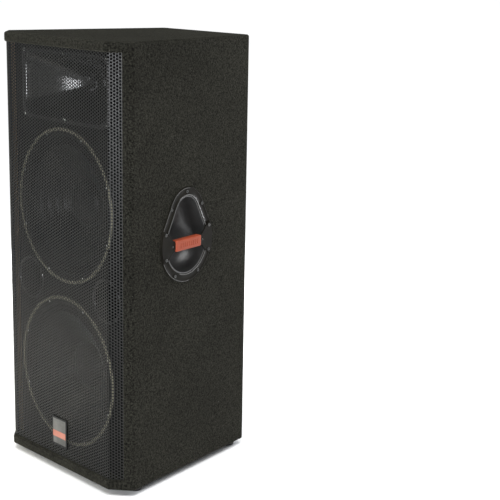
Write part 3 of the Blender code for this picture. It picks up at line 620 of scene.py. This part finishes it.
def make_felt_cover():
    """The carpet: outside, wrapped over the lips and round the side panels' front ends."""
    beyond = -0.05                # the window's cutter reaches this far in front of the carpet
    body = prism(outline(0, 0, 0, 0), BOTTOM_Z, TOP_Z)
    window_plan = clip_rear(outline(beyond, beyond, SIDE_BAND, SIDE_BAND), BAFFLE_Y - GAP)
    window = prism(window_plan, BOTTOM_Z + LIP_HEIGHT, TOP_Z - LIP_HEIGHT)
    body = round_convex_edges(combined(body, [window]), FELT_ROUND)

    skin = outline(FELT, FELT, FELT, FELT)
    panel = FELT + WOOD + 2 * GAP
    tools = [prism(skin, BOTTOM_Z + FELT, BOTTOM_Z + panel),
             prism(skin, TOP_Z - panel, TOP_Z - FELT),
             prism(clip_front(skin, BAFFLE_Y - 2 * GAP), BOTTOM_Z + FELT + GAP, TOP_Z - FELT - GAP)]
    under_flange = 0.008
    through = 0.01
    for sign in (-1, 1):
        tools.append(prism(slot_behind_band(sign), BOTTOM_Z + panel - GAP, TOP_Z - panel + GAP))
        tools.append(moved(prism(pear(-under_flange), -through, through), on_side(sign)))
    dish_low, dish_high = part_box("input_dish")
    hole = (dish_high[0] - dish_low[0] - 0.03, 2 * through, dish_high[2] - dish_low[2] - 0.026)
    dish = middle("input_dish")
    tools.append(rounded_box(hole, (dish.x, REAR_Y, dish.z)))
    felt = combined(body, tools)
    add_piece("felt_cover", felt, "carpet", stands_for="carpet_cover", sharp=50, weighted=True)


# ---- grille ----
def grille_corners():
    """Plan points of the grille's outer face on the right: the bend and the end."""
    points = [v.co for v in NODES["front_grille"].data.vertices]
    face_y = min(p.y for p in points)
    bend = max((p for p in points if p.y < face_y + 0.0001), key=lambda p: p.x)
    end = max(points, key=lambda p: p.x)
    return Vector((bend.x, bend.y)), Vector((end.x, end.y))


class GrillePath:
    """The grille's plan as one line with rounded bends, from its left end to its right end."""

    def __init__(self):
        bend, end = grille_corners()
        flank = end - bend
        self.turn = atan2(flank.y, flank.x)
        cutback = GRILLE_BEND * tan(self.turn / 2)
        self.flank = flank.length - cutback
        self.arc = GRILLE_BEND * self.turn
        self.front = 2 * (bend.x - cutback)
        self.length = 2 * (self.flank + self.arc) + self.front
        self.face_y = bend.y

    def place(self, run):
        """Plan point at a run from the left end."""
        from_middle = run - self.length / 2
        sign = -1 if from_middle < 0 else 1
        rest = abs(from_middle) - self.front / 2
        if rest <= 0:
            return Vector((from_middle, self.face_y))
        angle = min(rest / GRILLE_BEND, self.turn)
        past = max(0.0, rest - self.arc)
        x = self.front / 2 + GRILLE_BEND * sin(angle) + past * cos(self.turn)
        y = self.face_y + GRILLE_BEND * (1 - cos(angle)) + past * sin(self.turn)
        return Vector((sign * x, y))


def perforated_sheet(start, end, height):
    """A flat sheet from start to end with staggered round holes, cut straight at its edges."""
    lift = HOLE_PITCH / 2
    near = (COLUMN_PITCH ** 2 - lift ** 2) / (2 * COLUMN_PITCH)
    far = COLUMN_PITCH - near
    cell = [(far, 0), (near, lift), (-near, lift), (-far, 0), (-near, -lift), (near, -lift)]
    hole = circle(HOLE_RADIUS, 8)
    verts, faces, shared = [], [], {}

    def corner(x, z):
        key = (round(x * 1e6), round(z * 1e6))
        if key not in shared:
            shared[key] = len(verts)
            verts.append((x, z, 0))
        return shared[key]

    first = int(start / COLUMN_PITCH) - 1
    last = int(end / COLUMN_PITCH) + 2
    for column in range(first, last + 1):
        x = column * COLUMN_PITCH
        for row in range(-1, int(height / HOLE_PITCH) + 2):
            z = row * HOLE_PITCH + (column % 2) * lift
            c = [corner(x + dx, z + dz) for dx, dz in cell]
            h = list(range(len(verts), len(verts) + 8))
            verts.extend((x + dx, z + dz, 0) for dx, dz in hole)
            for side in (0, 3):
                a, b, d = c[side], c[side + 1], c[(side + 2) % 6]
                p = [h[(4 * (side // 3) + i) % 8] for i in range(5)]
                faces += [(a, b, p[1], p[0]), (b, p[2], p[1]), (b, d, p[2]), (d, p[3], p[2]),
                          (d, c[(side + 3) % 6], p[4], p[3])]
    mesh = bpy.data.meshes.new("perforated")
    mesh.from_pydata(verts, [], faces)
    shape = bmesh_of(mesh)
    cuts = [((start, 0, 0), (-1, 0, 0)), ((end, 0, 0), (1, 0, 0)),
            ((0, 0, 0), (0, -1, 0)), ((0, height, 0), (0, 1, 0))]
    for point, outwards in cuts:
        bmesh.ops.bisect_plane(shape, geom=shape.verts[:] + shape.edges[:] + shape.faces[:], dist=1e-6,
                               plane_co=point, plane_no=outwards, clear_outer=True)
    return mesh_of(shape)


def make_grille():
    """One perforated sheet bent round both front corners, in three sections side by side."""
    path = GrillePath()
    low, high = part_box("front_grille")
    height = high[2] - low[2]
    share = path.length / len(GRILLE_SECTIONS)
    for index, name in enumerate(GRILLE_SECTIONS):
        sheet = perforated_sheet(share * index, share * (index + 1), height)
        for vert in sheet.vertices:
            place = path.place(vert.co.x)
            vert.co = (place.x, place.y, low[2] + vert.co.y)
        sheet = modified(sheet, "SOLIDIFY", thickness=GRILLE_SHEET, offset=-1.0)
        add_piece("grille_" + name, sheet, "grille_steel", stands_for="front_grille", sharp=40)


def make_badge():
    """A plain name-plate: dark frame, brushed field, one coloured band. The frame is partly the real dark
    edge and partly painted shadow of the badge on the grille.
    """
    low, high = corners("badge")
    width, height = high.x - low.x, high.z - low.z
    place = facing("badge", high.y, FACING_FRONT)
    # The dark frame is wider than the real edge, to stand for the badge's shadow on the grille: partly
    # painted shadow.
    frame_and_shadow_width = 0.0048
    inside = (width - 2 * frame_and_shadow_width, height - 2 * frame_and_shadow_width)
    plate = rounded_box((width, height, 0.003), (0, 0, 0.0015), 0.0008)
    rim = combined(plate, [rounded_box((*inside, 0.002), (0, 0, 0.003))])
    add_piece("badge_frame_and_painted_shadow", moved(rim, place), "basket_steel", stands_for="badge", weighted=True)
    field = rounded_box((inside[0] - 0.0004, inside[1] - 0.0004, 0.0006), (0, 0, 0.0024), 0.0002)
    add_piece("badge_field", moved(field, place), "badge_metal", weighted=True)
    stripe = rounded_box((inside[0] - 0.001, 0.016, 0.0005), (0, -0.007, 0.003), 0.0002)
    add_piece("badge_stripe", moved(stripe, place), "badge_paint", weighted=True)


# ---- screws ----
def pan_screw(radius, height):
    """A pan-head screw's head with a cross recess."""
    steps = 5
    side = 0.35                   # share of the height with straight sides
    profile = [(radius, 0.0)]
    for i in range(steps):
        angle = pi / 2 * i / steps
        profile.append((radius * cos(angle) ** 0.6, height * (side + (1 - side) * sin(angle))))
    head = turned(profile + [(0.0, height), (0.0, 0.0)], 20, closed=False)
    long, short = radius * 1.1, radius * 0.24
    slots = [rounded_box((long, short, height), (0, 0, height)),
             rounded_box((short, long, height), (0, 0, height))]
    return combined(head, slots)


def screws_at(spots, level, radius, height):
    """One mesh of screws that stand on the plane Z = level at (x, y) spots."""
    screw = pan_screw(radius, height)
    return gathered([moved(screw, Matrix.Translation((x, y, level))) for x, y in spots])


# ---- drivers ----
def make_cone(prefix, place):
    """Ribbed paper cone, a slightly curved flare."""
    outer, top, back = ring_sizes(prefix + "_cone")
    bottom = back + 0.002
    neck = 0.0386
    sheet = 0.0014
    ribs = 6
    steps = 40
    front = []
    for i in range(steps + 1):
        share = i / steps
        radius = neck + (outer - neck) * share
        height = bottom + (top - bottom) * share ** 0.92
        rib = 0.0009 * max(0.0, sin(2 * pi * ribs * share)) if 0.35 < share < 0.92 else 0.0
        front.append((radius, height + rib))
    behind = [(r, h - sheet) for r, h in reversed(front)]
    mesh = moved(turned(front + behind), place)
    add_piece(prefix + "_paper_cone", mesh, "paper_cone", prefix + "_woofer_moving", prefix + "_cone")


def make_dust_cap(prefix, place):
    """A domed cap with a glued rim."""
    radius, rise, rim = ring_sizes(prefix + "_dust_cap")
    steps = 14
    angles = [pi / 2 * i / steps for i in range(steps + 1)]
    dome = [(radius * sin(a), rim + (rise - rim) * cos(a)) for a in angles]
    glue = [(radius, rim + 0.0016), (radius + 0.0026, rim + 0.0012), (radius + 0.003, rim + 0.0002)]
    inner = [(r * 0.985, h - 0.0011) for r, h in reversed(dome)]
    mesh = moved(turned(dome[:-1] + glue + inner[1:], closed=False), place)
    add_piece(prefix + "_pressed_cap", mesh, "paper_cone", prefix + "_woofer_moving", prefix + "_dust_cap")


def spread_between(piece):
    """Bake a ring of cloth's place into its mesh."""
    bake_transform(piece)


def make_surround(prefix, place):
    """Pleated cloth edge with two rolls."""
    outer, _, base = ring_sizes(prefix + "_surround")
    inner = outer - 0.0219
    sheet = 0.0009
    roll_height = 0.0048
    flat = 0.08                   # share of the width at each edge that runs straight down to the glue
    count = 36
    top = []
    for i in range(count + 1):
        share = i / count
        edge = min(share, 1 - share)
        roll = abs(sin(2 * pi * share)) if edge > flat else sin(2 * pi * flat) * (edge / flat)
        top.append((inner + (outer - inner) * share, base + sheet + roll_height * roll))
    under = [(r, h - sheet) for r, h in reversed(top)]
    piece = add_piece(prefix + "_pleated_edge", moved(turned(top + under), place), "surround_cloth", None,
                      prefix + "_surround", sharp=60)
    spread_between(piece)


def make_spider(prefix, place):
    """Corrugated centring cloth behind the cone."""
    low, high = corners(prefix + "_spider")
    outer = (high.x - low.x) / 2
    inner = 0.0392
    level = BAFFLE_Y - (low.y + high.y) / 2
    sheet = 0.0006
    waves = 5
    count = 60
    top = []
    for i in range(count + 1):
        share = i / count
        wave = 0.0014 * sin(2 * pi * waves * share)
        top.append((inner + (outer - inner) * share, level + sheet / 2 + wave))
    under = [(r, h - sheet) for r, h in reversed(top)]
    piece = add_piece(prefix + "_corrugated_cloth", moved(turned(top + under), place), "spider_cloth", None,
                      prefix + "_spider", sharp=60)
    spread_between(piece)


def make_gasket(prefix, place):
    """Pressed-fibre ring with rounded shoulders."""
    outer, top, bottom = ring_sizes(prefix + "_gasket")
    inner = outer - 0.008
    profile = [(inner, bottom), (inner, top - 0.0009), (inner + 0.0009, top), (outer - 0.0012, top),
               (outer, top - 0.0012), (outer, bottom)]
    mesh = moved(turned(profile, 128), place)
    add_piece(prefix + "_fibre_ring", mesh, "olive_gasket", stands_for=prefix + "_gasket")


def make_basket(prefix, place):
    """Pressed-steel basket with six windows and eight frame bolts."""
    rim, _, depth = ring_sizes(prefix + "_basket")
    sheet = 0.0022
    inside = depth + sheet
    profile = [(rim - 0.0008, 0.006), (rim, 0.0052), (rim, GAP), (0.1775, GAP), (0.1765, -0.012),
               (0.172, -0.022), (0.096, -0.088), (0.088, depth), (0.046, depth), (0.046, inside),
               (0.084, inside), (0.0915, -0.0865), (0.1685, -0.02), (0.173, -0.01), (0.173, 0.001),
               (0.179, 0.0058)]
    window = rounded_box((0.075, 0.08, 0.04), radius=0.01)
    out, level = 0.134, -0.054
    windows = []
    for index in range(6):
        angle = pi / 6 + index * pi / 3
        spot = Matrix.Translation((out * cos(angle), out * sin(angle), level))
        windows.append(moved(window, spot @ Matrix.Rotation(angle, 4, "Z")))
    shell = combined(turned(profile), windows)
    add_piece(prefix + "_pressed_basket", moved(shell, place), "basket_steel", stands_for=prefix + "_basket")
    bolts = screws_at(circle(0.182, 8, pi / 8), 0.0062, 0.003, 0.0022)
    add_piece(prefix + "_frame_bolts", moved(bolts, place), "zinc_steel")


def make_woofers():
    """Both woofers, piece by piece."""
    for prefix in ("upper", "lower"):
        axis_z = middle(prefix + "_cone").z
        place = on_baffle(0, axis_z)
        make_basket(prefix, place)
        make_gasket(prefix, place)
        make_surround(prefix, place)
        make_cone(prefix, place)
        make_dust_cap(prefix, place)
        make_spider(prefix, place)


# ---- horn and ports ----
def superellipse(half_x, half_z, power, out, count=72):
    """Points of a rounded rectangle at a distance out. A higher power has squarer corners."""
    points = []
    for index in range(count):
        angle = 2 * pi * (index + 0.5) / count
        c, s = cos(angle), sin(angle)
        points.append((half_x * abs(c) ** (2 / power) * (1 if c >= 0 else -1),
                       half_z * abs(s) ** (2 / power) * (1 if s >= 0 else -1), out))
    return points


def make_horn():
    """Glossy flare from a rounded rectangle to a round throat, on a bolted flange."""
    low, high = corners("horn_flare")
    flange = ((high.x - low.x) / 2, (high.z - low.z) / 2)
    mouth = (flange[0] - 0.014, flange[1] - 0.014)
    depth = 0.125
    throat = 0.018
    sheet = 0.003
    face = GAP + sheet
    lip = 0.002                   # depth of the mouth's rounded edge
    rings = [(flange, 0, 12, GAP + 0.0012), (flange, -0.0005, 12, face - 0.0004), (flange, -0.0016, 12, face),
             (mouth, 0.003, 9, face), (mouth, 0.001, 8.5, face - 0.0008)]
    rows = [superellipse(half[0] + grow, half[1] + grow, power, out) for half, grow, power, out in rings]
    stations = 18
    for index in range(stations + 1):
        share = index / stations
        half_x = throat + (mouth[0] - throat) * (1 - share) ** 1.5
        half_z = throat + (mouth[1] - throat) * (1 - share) ** 1.15
        power = 2 + 6 * (1 - share) ** 2
        rows.append(superellipse(half_x, half_z, power, face - lip - (depth - lip) * share))
    surface = modified(mesh_of(skinned(rows)), "SOLIDIFY", thickness=sheet * 0.85, offset=-1.0)
    place = on_baffle(0, (low.z + high.z) / 2)
    add_piece("horn_flare_shell", moved(surface, place), "horn_plastic", stands_for="horn_flare", sharp=45)
    bolt_x, bolt_z = flange[0] - 0.0075, flange[1] - 0.0075
    spots = [(x * bolt_x, z * bolt_z) for x in (-0.985, 0, 0.985) for z in (-0.97, 0.97)]
    add_piece("horn_bolts", moved(screws_at(spots, face, 0.0042, 0.0024), place), "zinc_steel")


def make_ports():
    """Moulded port tubes with rolled mouths."""
    for side in ("left", "right"):
        node = side + "_port_tube"
        lip, _, back = ring_sizes(node)
        bore = lip - 0.008
        wall = bore + 0.003
        roll = 0.0065
        profile = arc((bore + roll, -0.004), roll, 180, 90, 8)
        profile += [(lip - 0.001, 0.0025), (lip, 0.0016), (lip, GAP), (wall, GAP), (wall, back), (bore, back)]
        mesh = moved(turned(profile), facing(node, BAFFLE_Y, FACING_FRONT))
        add_piece(side + "_port_moulding", mesh, "horn_plastic", stands_for=node)


# ---- handles ----
def make_flange(side, sign, place):
    """The handle's flange: a sunk band between two rounded beads, each with a painted highlight on one side,
    where a lighter colour stands for the light's reflection.
    """
    section = [(0.0, GAP), (0.0, 0.0022), (-0.0005, 0.0031), (-0.0014, 0.0036), (-0.0026, 0.0036),
               (-0.0036, FLANGE_TOP - 0.0004), (-0.0168, FLANGE_TOP - 0.0004), (-0.0178, 0.0038),
               (-0.0192, 0.004), (-0.0204, 0.0034), (-FLANGE_RING, 0.002), (-FLANGE_RING, GAP)]
    rows = [[(x, y, out) for x, y in pear(offset)] for offset, out in section]
    shape = skinned(rows, rows_closed=True)
    bmesh.ops.recalc_face_normals(shape, faces=shape.faces)
    mesh = mesh_of(shape)
    outer_crest, inner_crest = 0.0034, 0.00365    # only the beads' crests are higher than these
    # Faces of the beads' crests on the side that catches the light get the lighter colour: a painted
    # highlight.
    painted_highlight_faces = []
    for p in mesh.polygons:
        outer_painted_highlight = outer_crest < p.center.z < inner_crest and p.center.x * sign < 0.01
        inner_painted_highlight = p.center.z > inner_crest and p.center.x * sign > -0.03
        if outer_painted_highlight or inner_painted_highlight:
            painted_highlight_faces.append(p.index)
    flange = add_piece(side + "_handle_flange", moved(mesh, place), "handle_plastic",
                       stands_for=side + "_handle_cup", sharp=50)
    flange.data.materials.append(LOOKS["bead_painted_highlight"])
    for index in painted_highlight_faces:
        flange.data.polygons[index].material_index = 1


def make_bowl(side, place):
    """The deep rounded bowl behind the grip, in the flange's plastic: glossier, and lighter in colour as a
    painted highlight.
    """
    rim = pear(-FLANGE_RING - GAP)
    centre = (PEAR_LOWER[1] + PEAR_UPPER[1]) / 2 - 0.014
    top = FLANGE_TOP - 0.0012
    steps = 22
    rows = [[(x, y, top) for x, y in rim]]
    for index in range(steps):
        angle = pi / 2 * (index + 1) / (steps + 0.5)
        depth = CUP_DEPTH * sin(angle) ** 0.95
        shrink = cos(angle) ** 0.62
        rows.append([(x * shrink, centre + (y - centre) * shrink, top - depth) for x, y in rim])
    rows.append([(0, centre, top - CUP_DEPTH)])
    shell = modified(mesh_of(skinned(rows)), "SOLIDIFY", thickness=CUP_SHEET, offset=1.0)
    add_piece(side + "_handle_bowl", moved(shell, place), "bowl_painted_highlight", stands_for=side + "_handle_cup",
              sharp=60)


def end_plate_outline(sign):
    """Half of the bow-tie: wide at the flange's rim, narrow at the grip."""
    rim = PEAR_LOWER[0] - 0.0012
    points = arc((0, PEAR_LOWER[1]), rim, -24, 24, 18)
    points += [(0.074, 0.0125), (0.056, BAR_DROP + 0.0135), (0.05, BAR_DROP + 0.013),
               (0.05, BAR_DROP - 0.013), (0.056, BAR_DROP - 0.0135), (0.074, -0.052)]
    if sign < 0:
        return [(-x, y) for x, y in reversed(points)]
    return points


def make_bow_tie(side, place):
    """The grip's bar with its two end plates."""
    low = FLANGE_TOP + GAP
    bar = rounded_box(BAR, (0, BAR_DROP, GRIP_OUT), 0.001)
    plates = [prism(end_plate_outline(sign), low, low + 0.003) for sign in (-1, 1)]
    whole = combined(bar, plates, "UNION")
    whole = modified(whole, "BEVEL", width=0.0007, segments=2, limit_method="ANGLE", angle_limit=radians(40))
    add_piece(side + "_handle_bow_tie", moved(whole, place), "handle_plastic",
              stands_for=side + "_handle_bar", sharp=40, weighted=True)


def make_grip(side, place):
    """Soft orange sleeve with plain moulded grooves."""
    body = rounded_box(SLEEVE, (0, BAR_DROP, GRIP_OUT), 0.0035, 4)
    tools = [rounded_box((0.2, BAR[1] + 2 * GAP, BAR[2] + 2 * GAP), (0, BAR_DROP, GRIP_OUT))]
    face = GRIP_OUT + SLEEVE[2] / 2
    for index in range(9):
        x = (index - 4) * 0.0082
        tools.append(rounded_box((0.003, 0.012, 0.0016), (x, BAR_DROP, face), 0.0006, 2))
    sleeve = combined(body, tools)
    add_piece(side + "_grip_rubber", moved(sleeve, place), "orange_rubber", stands_for=side + "_grip_sleeve",
              sharp=45, weighted=True)


def make_handle_screws(side, place):
    """Flange screws, those through the end plates, and two small pins."""
    plate_top = FLANGE_TOP + GAP + 0.003
    ring = [(0, 0.1075), (0.059, 0.07), (-0.059, 0.07), (0.045, -0.0975), (-0.045, -0.0975)]
    plate = [(0.0845, 0.012), (-0.0845, 0.012), (0.083, -0.05), (-0.083, -0.05)]
    pins = [(-0.058, BAR_DROP), (0.058, BAR_DROP)]
    screws = gathered([screws_at(ring, FLANGE_TOP - 0.0004, 0.004, 0.0022),
                       screws_at(plate, plate_top, 0.004, 0.0022)])
    add_piece(side + "_handle_screws", moved(screws, place), "zinc_black")
    small = screws_at(pins, plate_top, 0.0026, 0.0012)
    add_piece(side + "_handle_pins", moved(small, place), "zinc_black")


def make_handles():
    """Both handles, each in its own side's place."""
    for side, sign in (("left", -1), ("right", 1)):
        place = on_side(sign)
        make_flange(side, sign, place)
        make_bowl(side, place)
        make_bow_tie(side, place)
        make_grip(side, place)
        make_handle_screws(side, place)


# ---- input plate ----
def make_input_plate():
    """Recessed plate with rounded corners and six screws."""
    low, high = corners("input_dish")
    centre = middle("input_dish")
    width, height = high.x - low.x, high.z - low.z
    place = facing("input_dish", REAR_Y, FACING_REAR)
    opening = (width - 0.042, height - 0.038)
    floor = -0.013
    hollow = 0.033
    sheet = 0.0025
    plate = rounded_box((width, height, sheet), (0, 0, GAP + sheet / 2))
    pan_size = (opening[0] + 2 * sheet, opening[1] + 2 * sheet, sheet - floor)
    pan = rounded_box(pan_size, (0, 0, (floor - sheet) / 2 + 0.0006))
    body = combined(plate, [pan], "UNION")
    tools = [rounded_box((*opening, hollow), (0, 0, floor + hollow / 2))]
    for kind, hole in (("speaker", 0.0123), ("jack", 0.0088)):
        for index in (1, 2):
            spot = middle("%s_socket_%d" % (kind, index))
            at = Matrix.Translation((centre.x - spot.x, spot.z - centre.z, floor))
            tools.append(moved(round_cutter(hole), at))
    dish = combined(body, tools)
    dish = modified(dish, "BEVEL", width=0.0009, segments=2, limit_method="ANGLE", angle_limit=radians(40))
    add_piece("input_plate", moved(dish, place), "handle_plastic", stands_for="input_dish",
              sharp=40, weighted=True)
    spots = [(x, z) for x in (-0.079, 0, 0.079) for z in (-0.056, 0.056)]
    screws = screws_at(spots, GAP + sheet, 0.0042, 0.0024)
    add_piece("input_plate_screws", moved(screws, place), "zinc_steel")


def socket_sizes(name):
    """A socket's place with Z out of the rear, its radius, and its depth below its face."""
    low, high = corners(name)
    return facing(name, high.y, FACING_REAR), (high.x - low.x) / 2, low.y - high.y


def make_speaker_socket(name):
    """Round twist-lock socket: a ring-shaped well with two keyways round a core."""
    place, radius, depth = socket_sizes(name)
    barrel = radius - 0.0014
    profile = [(radius - 0.0006, 0.0), (radius, -0.0006), (radius, -0.0027), (barrel, -0.0027),
               (barrel, depth), (0.0, depth), (0.0, -0.006), (0.0044, -0.006), (0.005, -0.0066),
               (0.005, -0.019),
               (0.0095, -0.019), (0.0095, -0.0008), (0.0101, 0.0)]
    keys = [rounded_box((0.003, 0.0044, 0.014), (0, s * 0.0104, -0.0064)) for s in (-1, 1)]
    body = combined(turned(profile, SMALL_ROUND), keys)
    add_piece(name + "_shell", moved(body, place), "horn_plastic", stands_for=name)


def make_jack_socket(name):
    """Jack socket: a bored bush through a hexagonal nut."""
    place, radius, depth = socket_sizes(name)
    profile = [(0.0052, 0.0006), (0.0058, 0.0), (0.0058, -0.0027), (0.0085, -0.0031), (0.0085, depth),
               (0.0, depth), (0.0, -0.02), (0.0034, -0.02), (0.0034, 0.0001), (0.0039, 0.0006)]
    nut = combined(prism(circle(radius + 0.0002, 6), -0.0027, -0.0004), [round_cutter(0.005)])
    whole = combined(nut, [turned(profile, SMALL_ROUND)], "UNION")
    whole = modified(whole, "BEVEL", width=0.0003, segments=1, limit_method="ANGLE", angle_limit=radians(50))
    add_piece(name + "_shell", moved(whole, place), "zinc_steel", stands_for=name)


def make_sockets():
    for kind, make in (("speaker", make_speaker_socket), ("jack", make_jack_socket)):
        for index in (1, 2):
            make("%s_socket_%d" % (kind, index))


def make_label():
    """The printed panel beside the sockets."""
    low, high = corners("input_label")
    sheet = rounded_box(tuple(high - low), tuple(middle("input_label")), 0.0003, 2)
    add_piece("printed_label", sheet, "label_print", stands_for="input_label", weighted=True)


# ---- feet ----
def make_feet():
    """Turned rubber feet with a recessed screw underneath."""
    for end in ("front", "rear"):
        for side in ("left", "right"):
            name = "foot_%s_%s" % (end, side)
            low, high = corners(name)
            centre = middle(name)
            top = high.z - low.z
            profile = [(0.0, top), (0.0174, top), (0.018, top - 0.0008), (0.0176, 0.007), (0.016, 0.0012),
                       (0.0148, 0.0), (0.0078, 0.0), (0.007, 0.0006), (0.007, 0.006), (0.0, 0.006)]
            place = Matrix.Translation((centre.x, centre.y, low.z))
            rubber = moved(turned(profile, 40, closed=False), place)
            add_piece(name + "_rubber", rubber, "black_rubber", stands_for=name)
            down = place @ Matrix.Translation((0, 0, 0.0058)) @ Matrix.Rotation(pi, 4, "X")
            add_piece(name + "_screw", moved(pan_screw(0.005, 0.0022), down), "zinc_steel")


# ---- carried-over nodes ----
def dress_frame_nodes():
    """Give every CAD node that still shows its finished material."""
    for name, node in NODES.items():
        if node.hide_render:
            continue
        slot = "black_stain" if name == "front_baffle" else SLOT_OF[name]
        for material_slot in node.material_slots:
            material_slot.material = LOOKS[slot]
        if not node.material_slots:
            node.data.materials.append(LOOKS[slot])


# ---- stage ----
def make_floor():
    """A wide pale floor, just under the feet."""
    mesh = rounded_box((400, 400, 0.02), (0, 0, -0.0101))
    floor = new_object("studio_floor", mesh)
    look, tree, shader = new_look("studio_floor", 0.9)
    drive(tree, shader, "Base Color", noise(tree, 3, 2), [(0.3, 0.95), (0.7, 0.98)])
    mesh.materials.append(look)


def make_world():
    """Faint even light, and a white backdrop that only the camera sees."""
    world = bpy.data.worlds.new("studio")
    bpy.context.scene.world = world
    world.use_nodes = True
    tree = world.node_tree
    surroundings = tree.nodes["Background"]
    surroundings.inputs["Color"].default_value = (0.92, 0.96, 1.0, 1)
    surroundings.inputs["Strength"].default_value = AMBIENT
    backdrop = tree.nodes.new("ShaderNodeBackground")
    rays = tree.nodes.new("ShaderNodeLightPath")
    mix = tree.nodes.new("ShaderNodeMixShader")
    tree.links.new(rays.outputs["Is Camera Ray"], mix.inputs[0])
    tree.links.new(surroundings.outputs[0], mix.inputs[1])
    tree.links.new(backdrop.outputs[0], mix.inputs[2])
    tree.links.new(mix.outputs[0], tree.nodes["World Output"].inputs["Surface"])
    bpy.context.scene.view_settings.view_transform = "Standard"


def new_lamp(name, kind, energy, direction):
    """A lamp that shines along a direction."""
    data = bpy.data.lights.new(name, kind)
    data.energy = energy
    lamp = new_object(name, data)
    lamp.rotation_euler = direction.to_track_quat("-Z", "Y").to_euler()
    return lamp


def make_lamps():
    """One wide overhead lamp and the softboxes."""
    sun = new_lamp("overhead", "SUN", OVERHEAD, -Vector(OVERHEAD_FROM))
    sun.data.angle = radians(50)
    for name, place, aim, size, watts, colour in SOFTBOXES:
        lamp = new_lamp(name, "AREA", watts, Vector(aim) - Vector(place))
        lamp.location = place
        lamp.visible_camera = False
        lamp.data.shape = "RECTANGLE"
        lamp.data.size, lamp.data.size_y = size
        lamp.data.color = colour


def make_camera():
    data = bpy.data.cameras.new("camera")
    data.lens = LENS
    data.sensor_width = 36
    camera = new_object("camera", data)
    camera.location = CAMERA_PLACE
    azimuth, elevation = radians(VIEW_AZIMUTH), radians(VIEW_ELEVATION)
    back = Vector((sin(azimuth) * cos(elevation), -cos(azimuth) * cos(elevation), sin(elevation)))
    right = Vector((0, 0, 1)).cross(back).normalized()
    up = back.cross(right)
    turn = Matrix((right, up, back)).transposed()
    camera.rotation_euler = (turn @ Matrix.Rotation(radians(VIEW_ROLL), 3, "Z")).to_euler()
    bpy.context.scene.camera = camera


make_camera()
make_felt_cover()
make_grille()
make_badge()
make_woofers()
make_horn()
make_ports()
make_handles()
make_input_plate()
make_sockets()
make_label()
make_feet()
dress_frame_nodes()
make_floor()
make_world()
make_lamps()
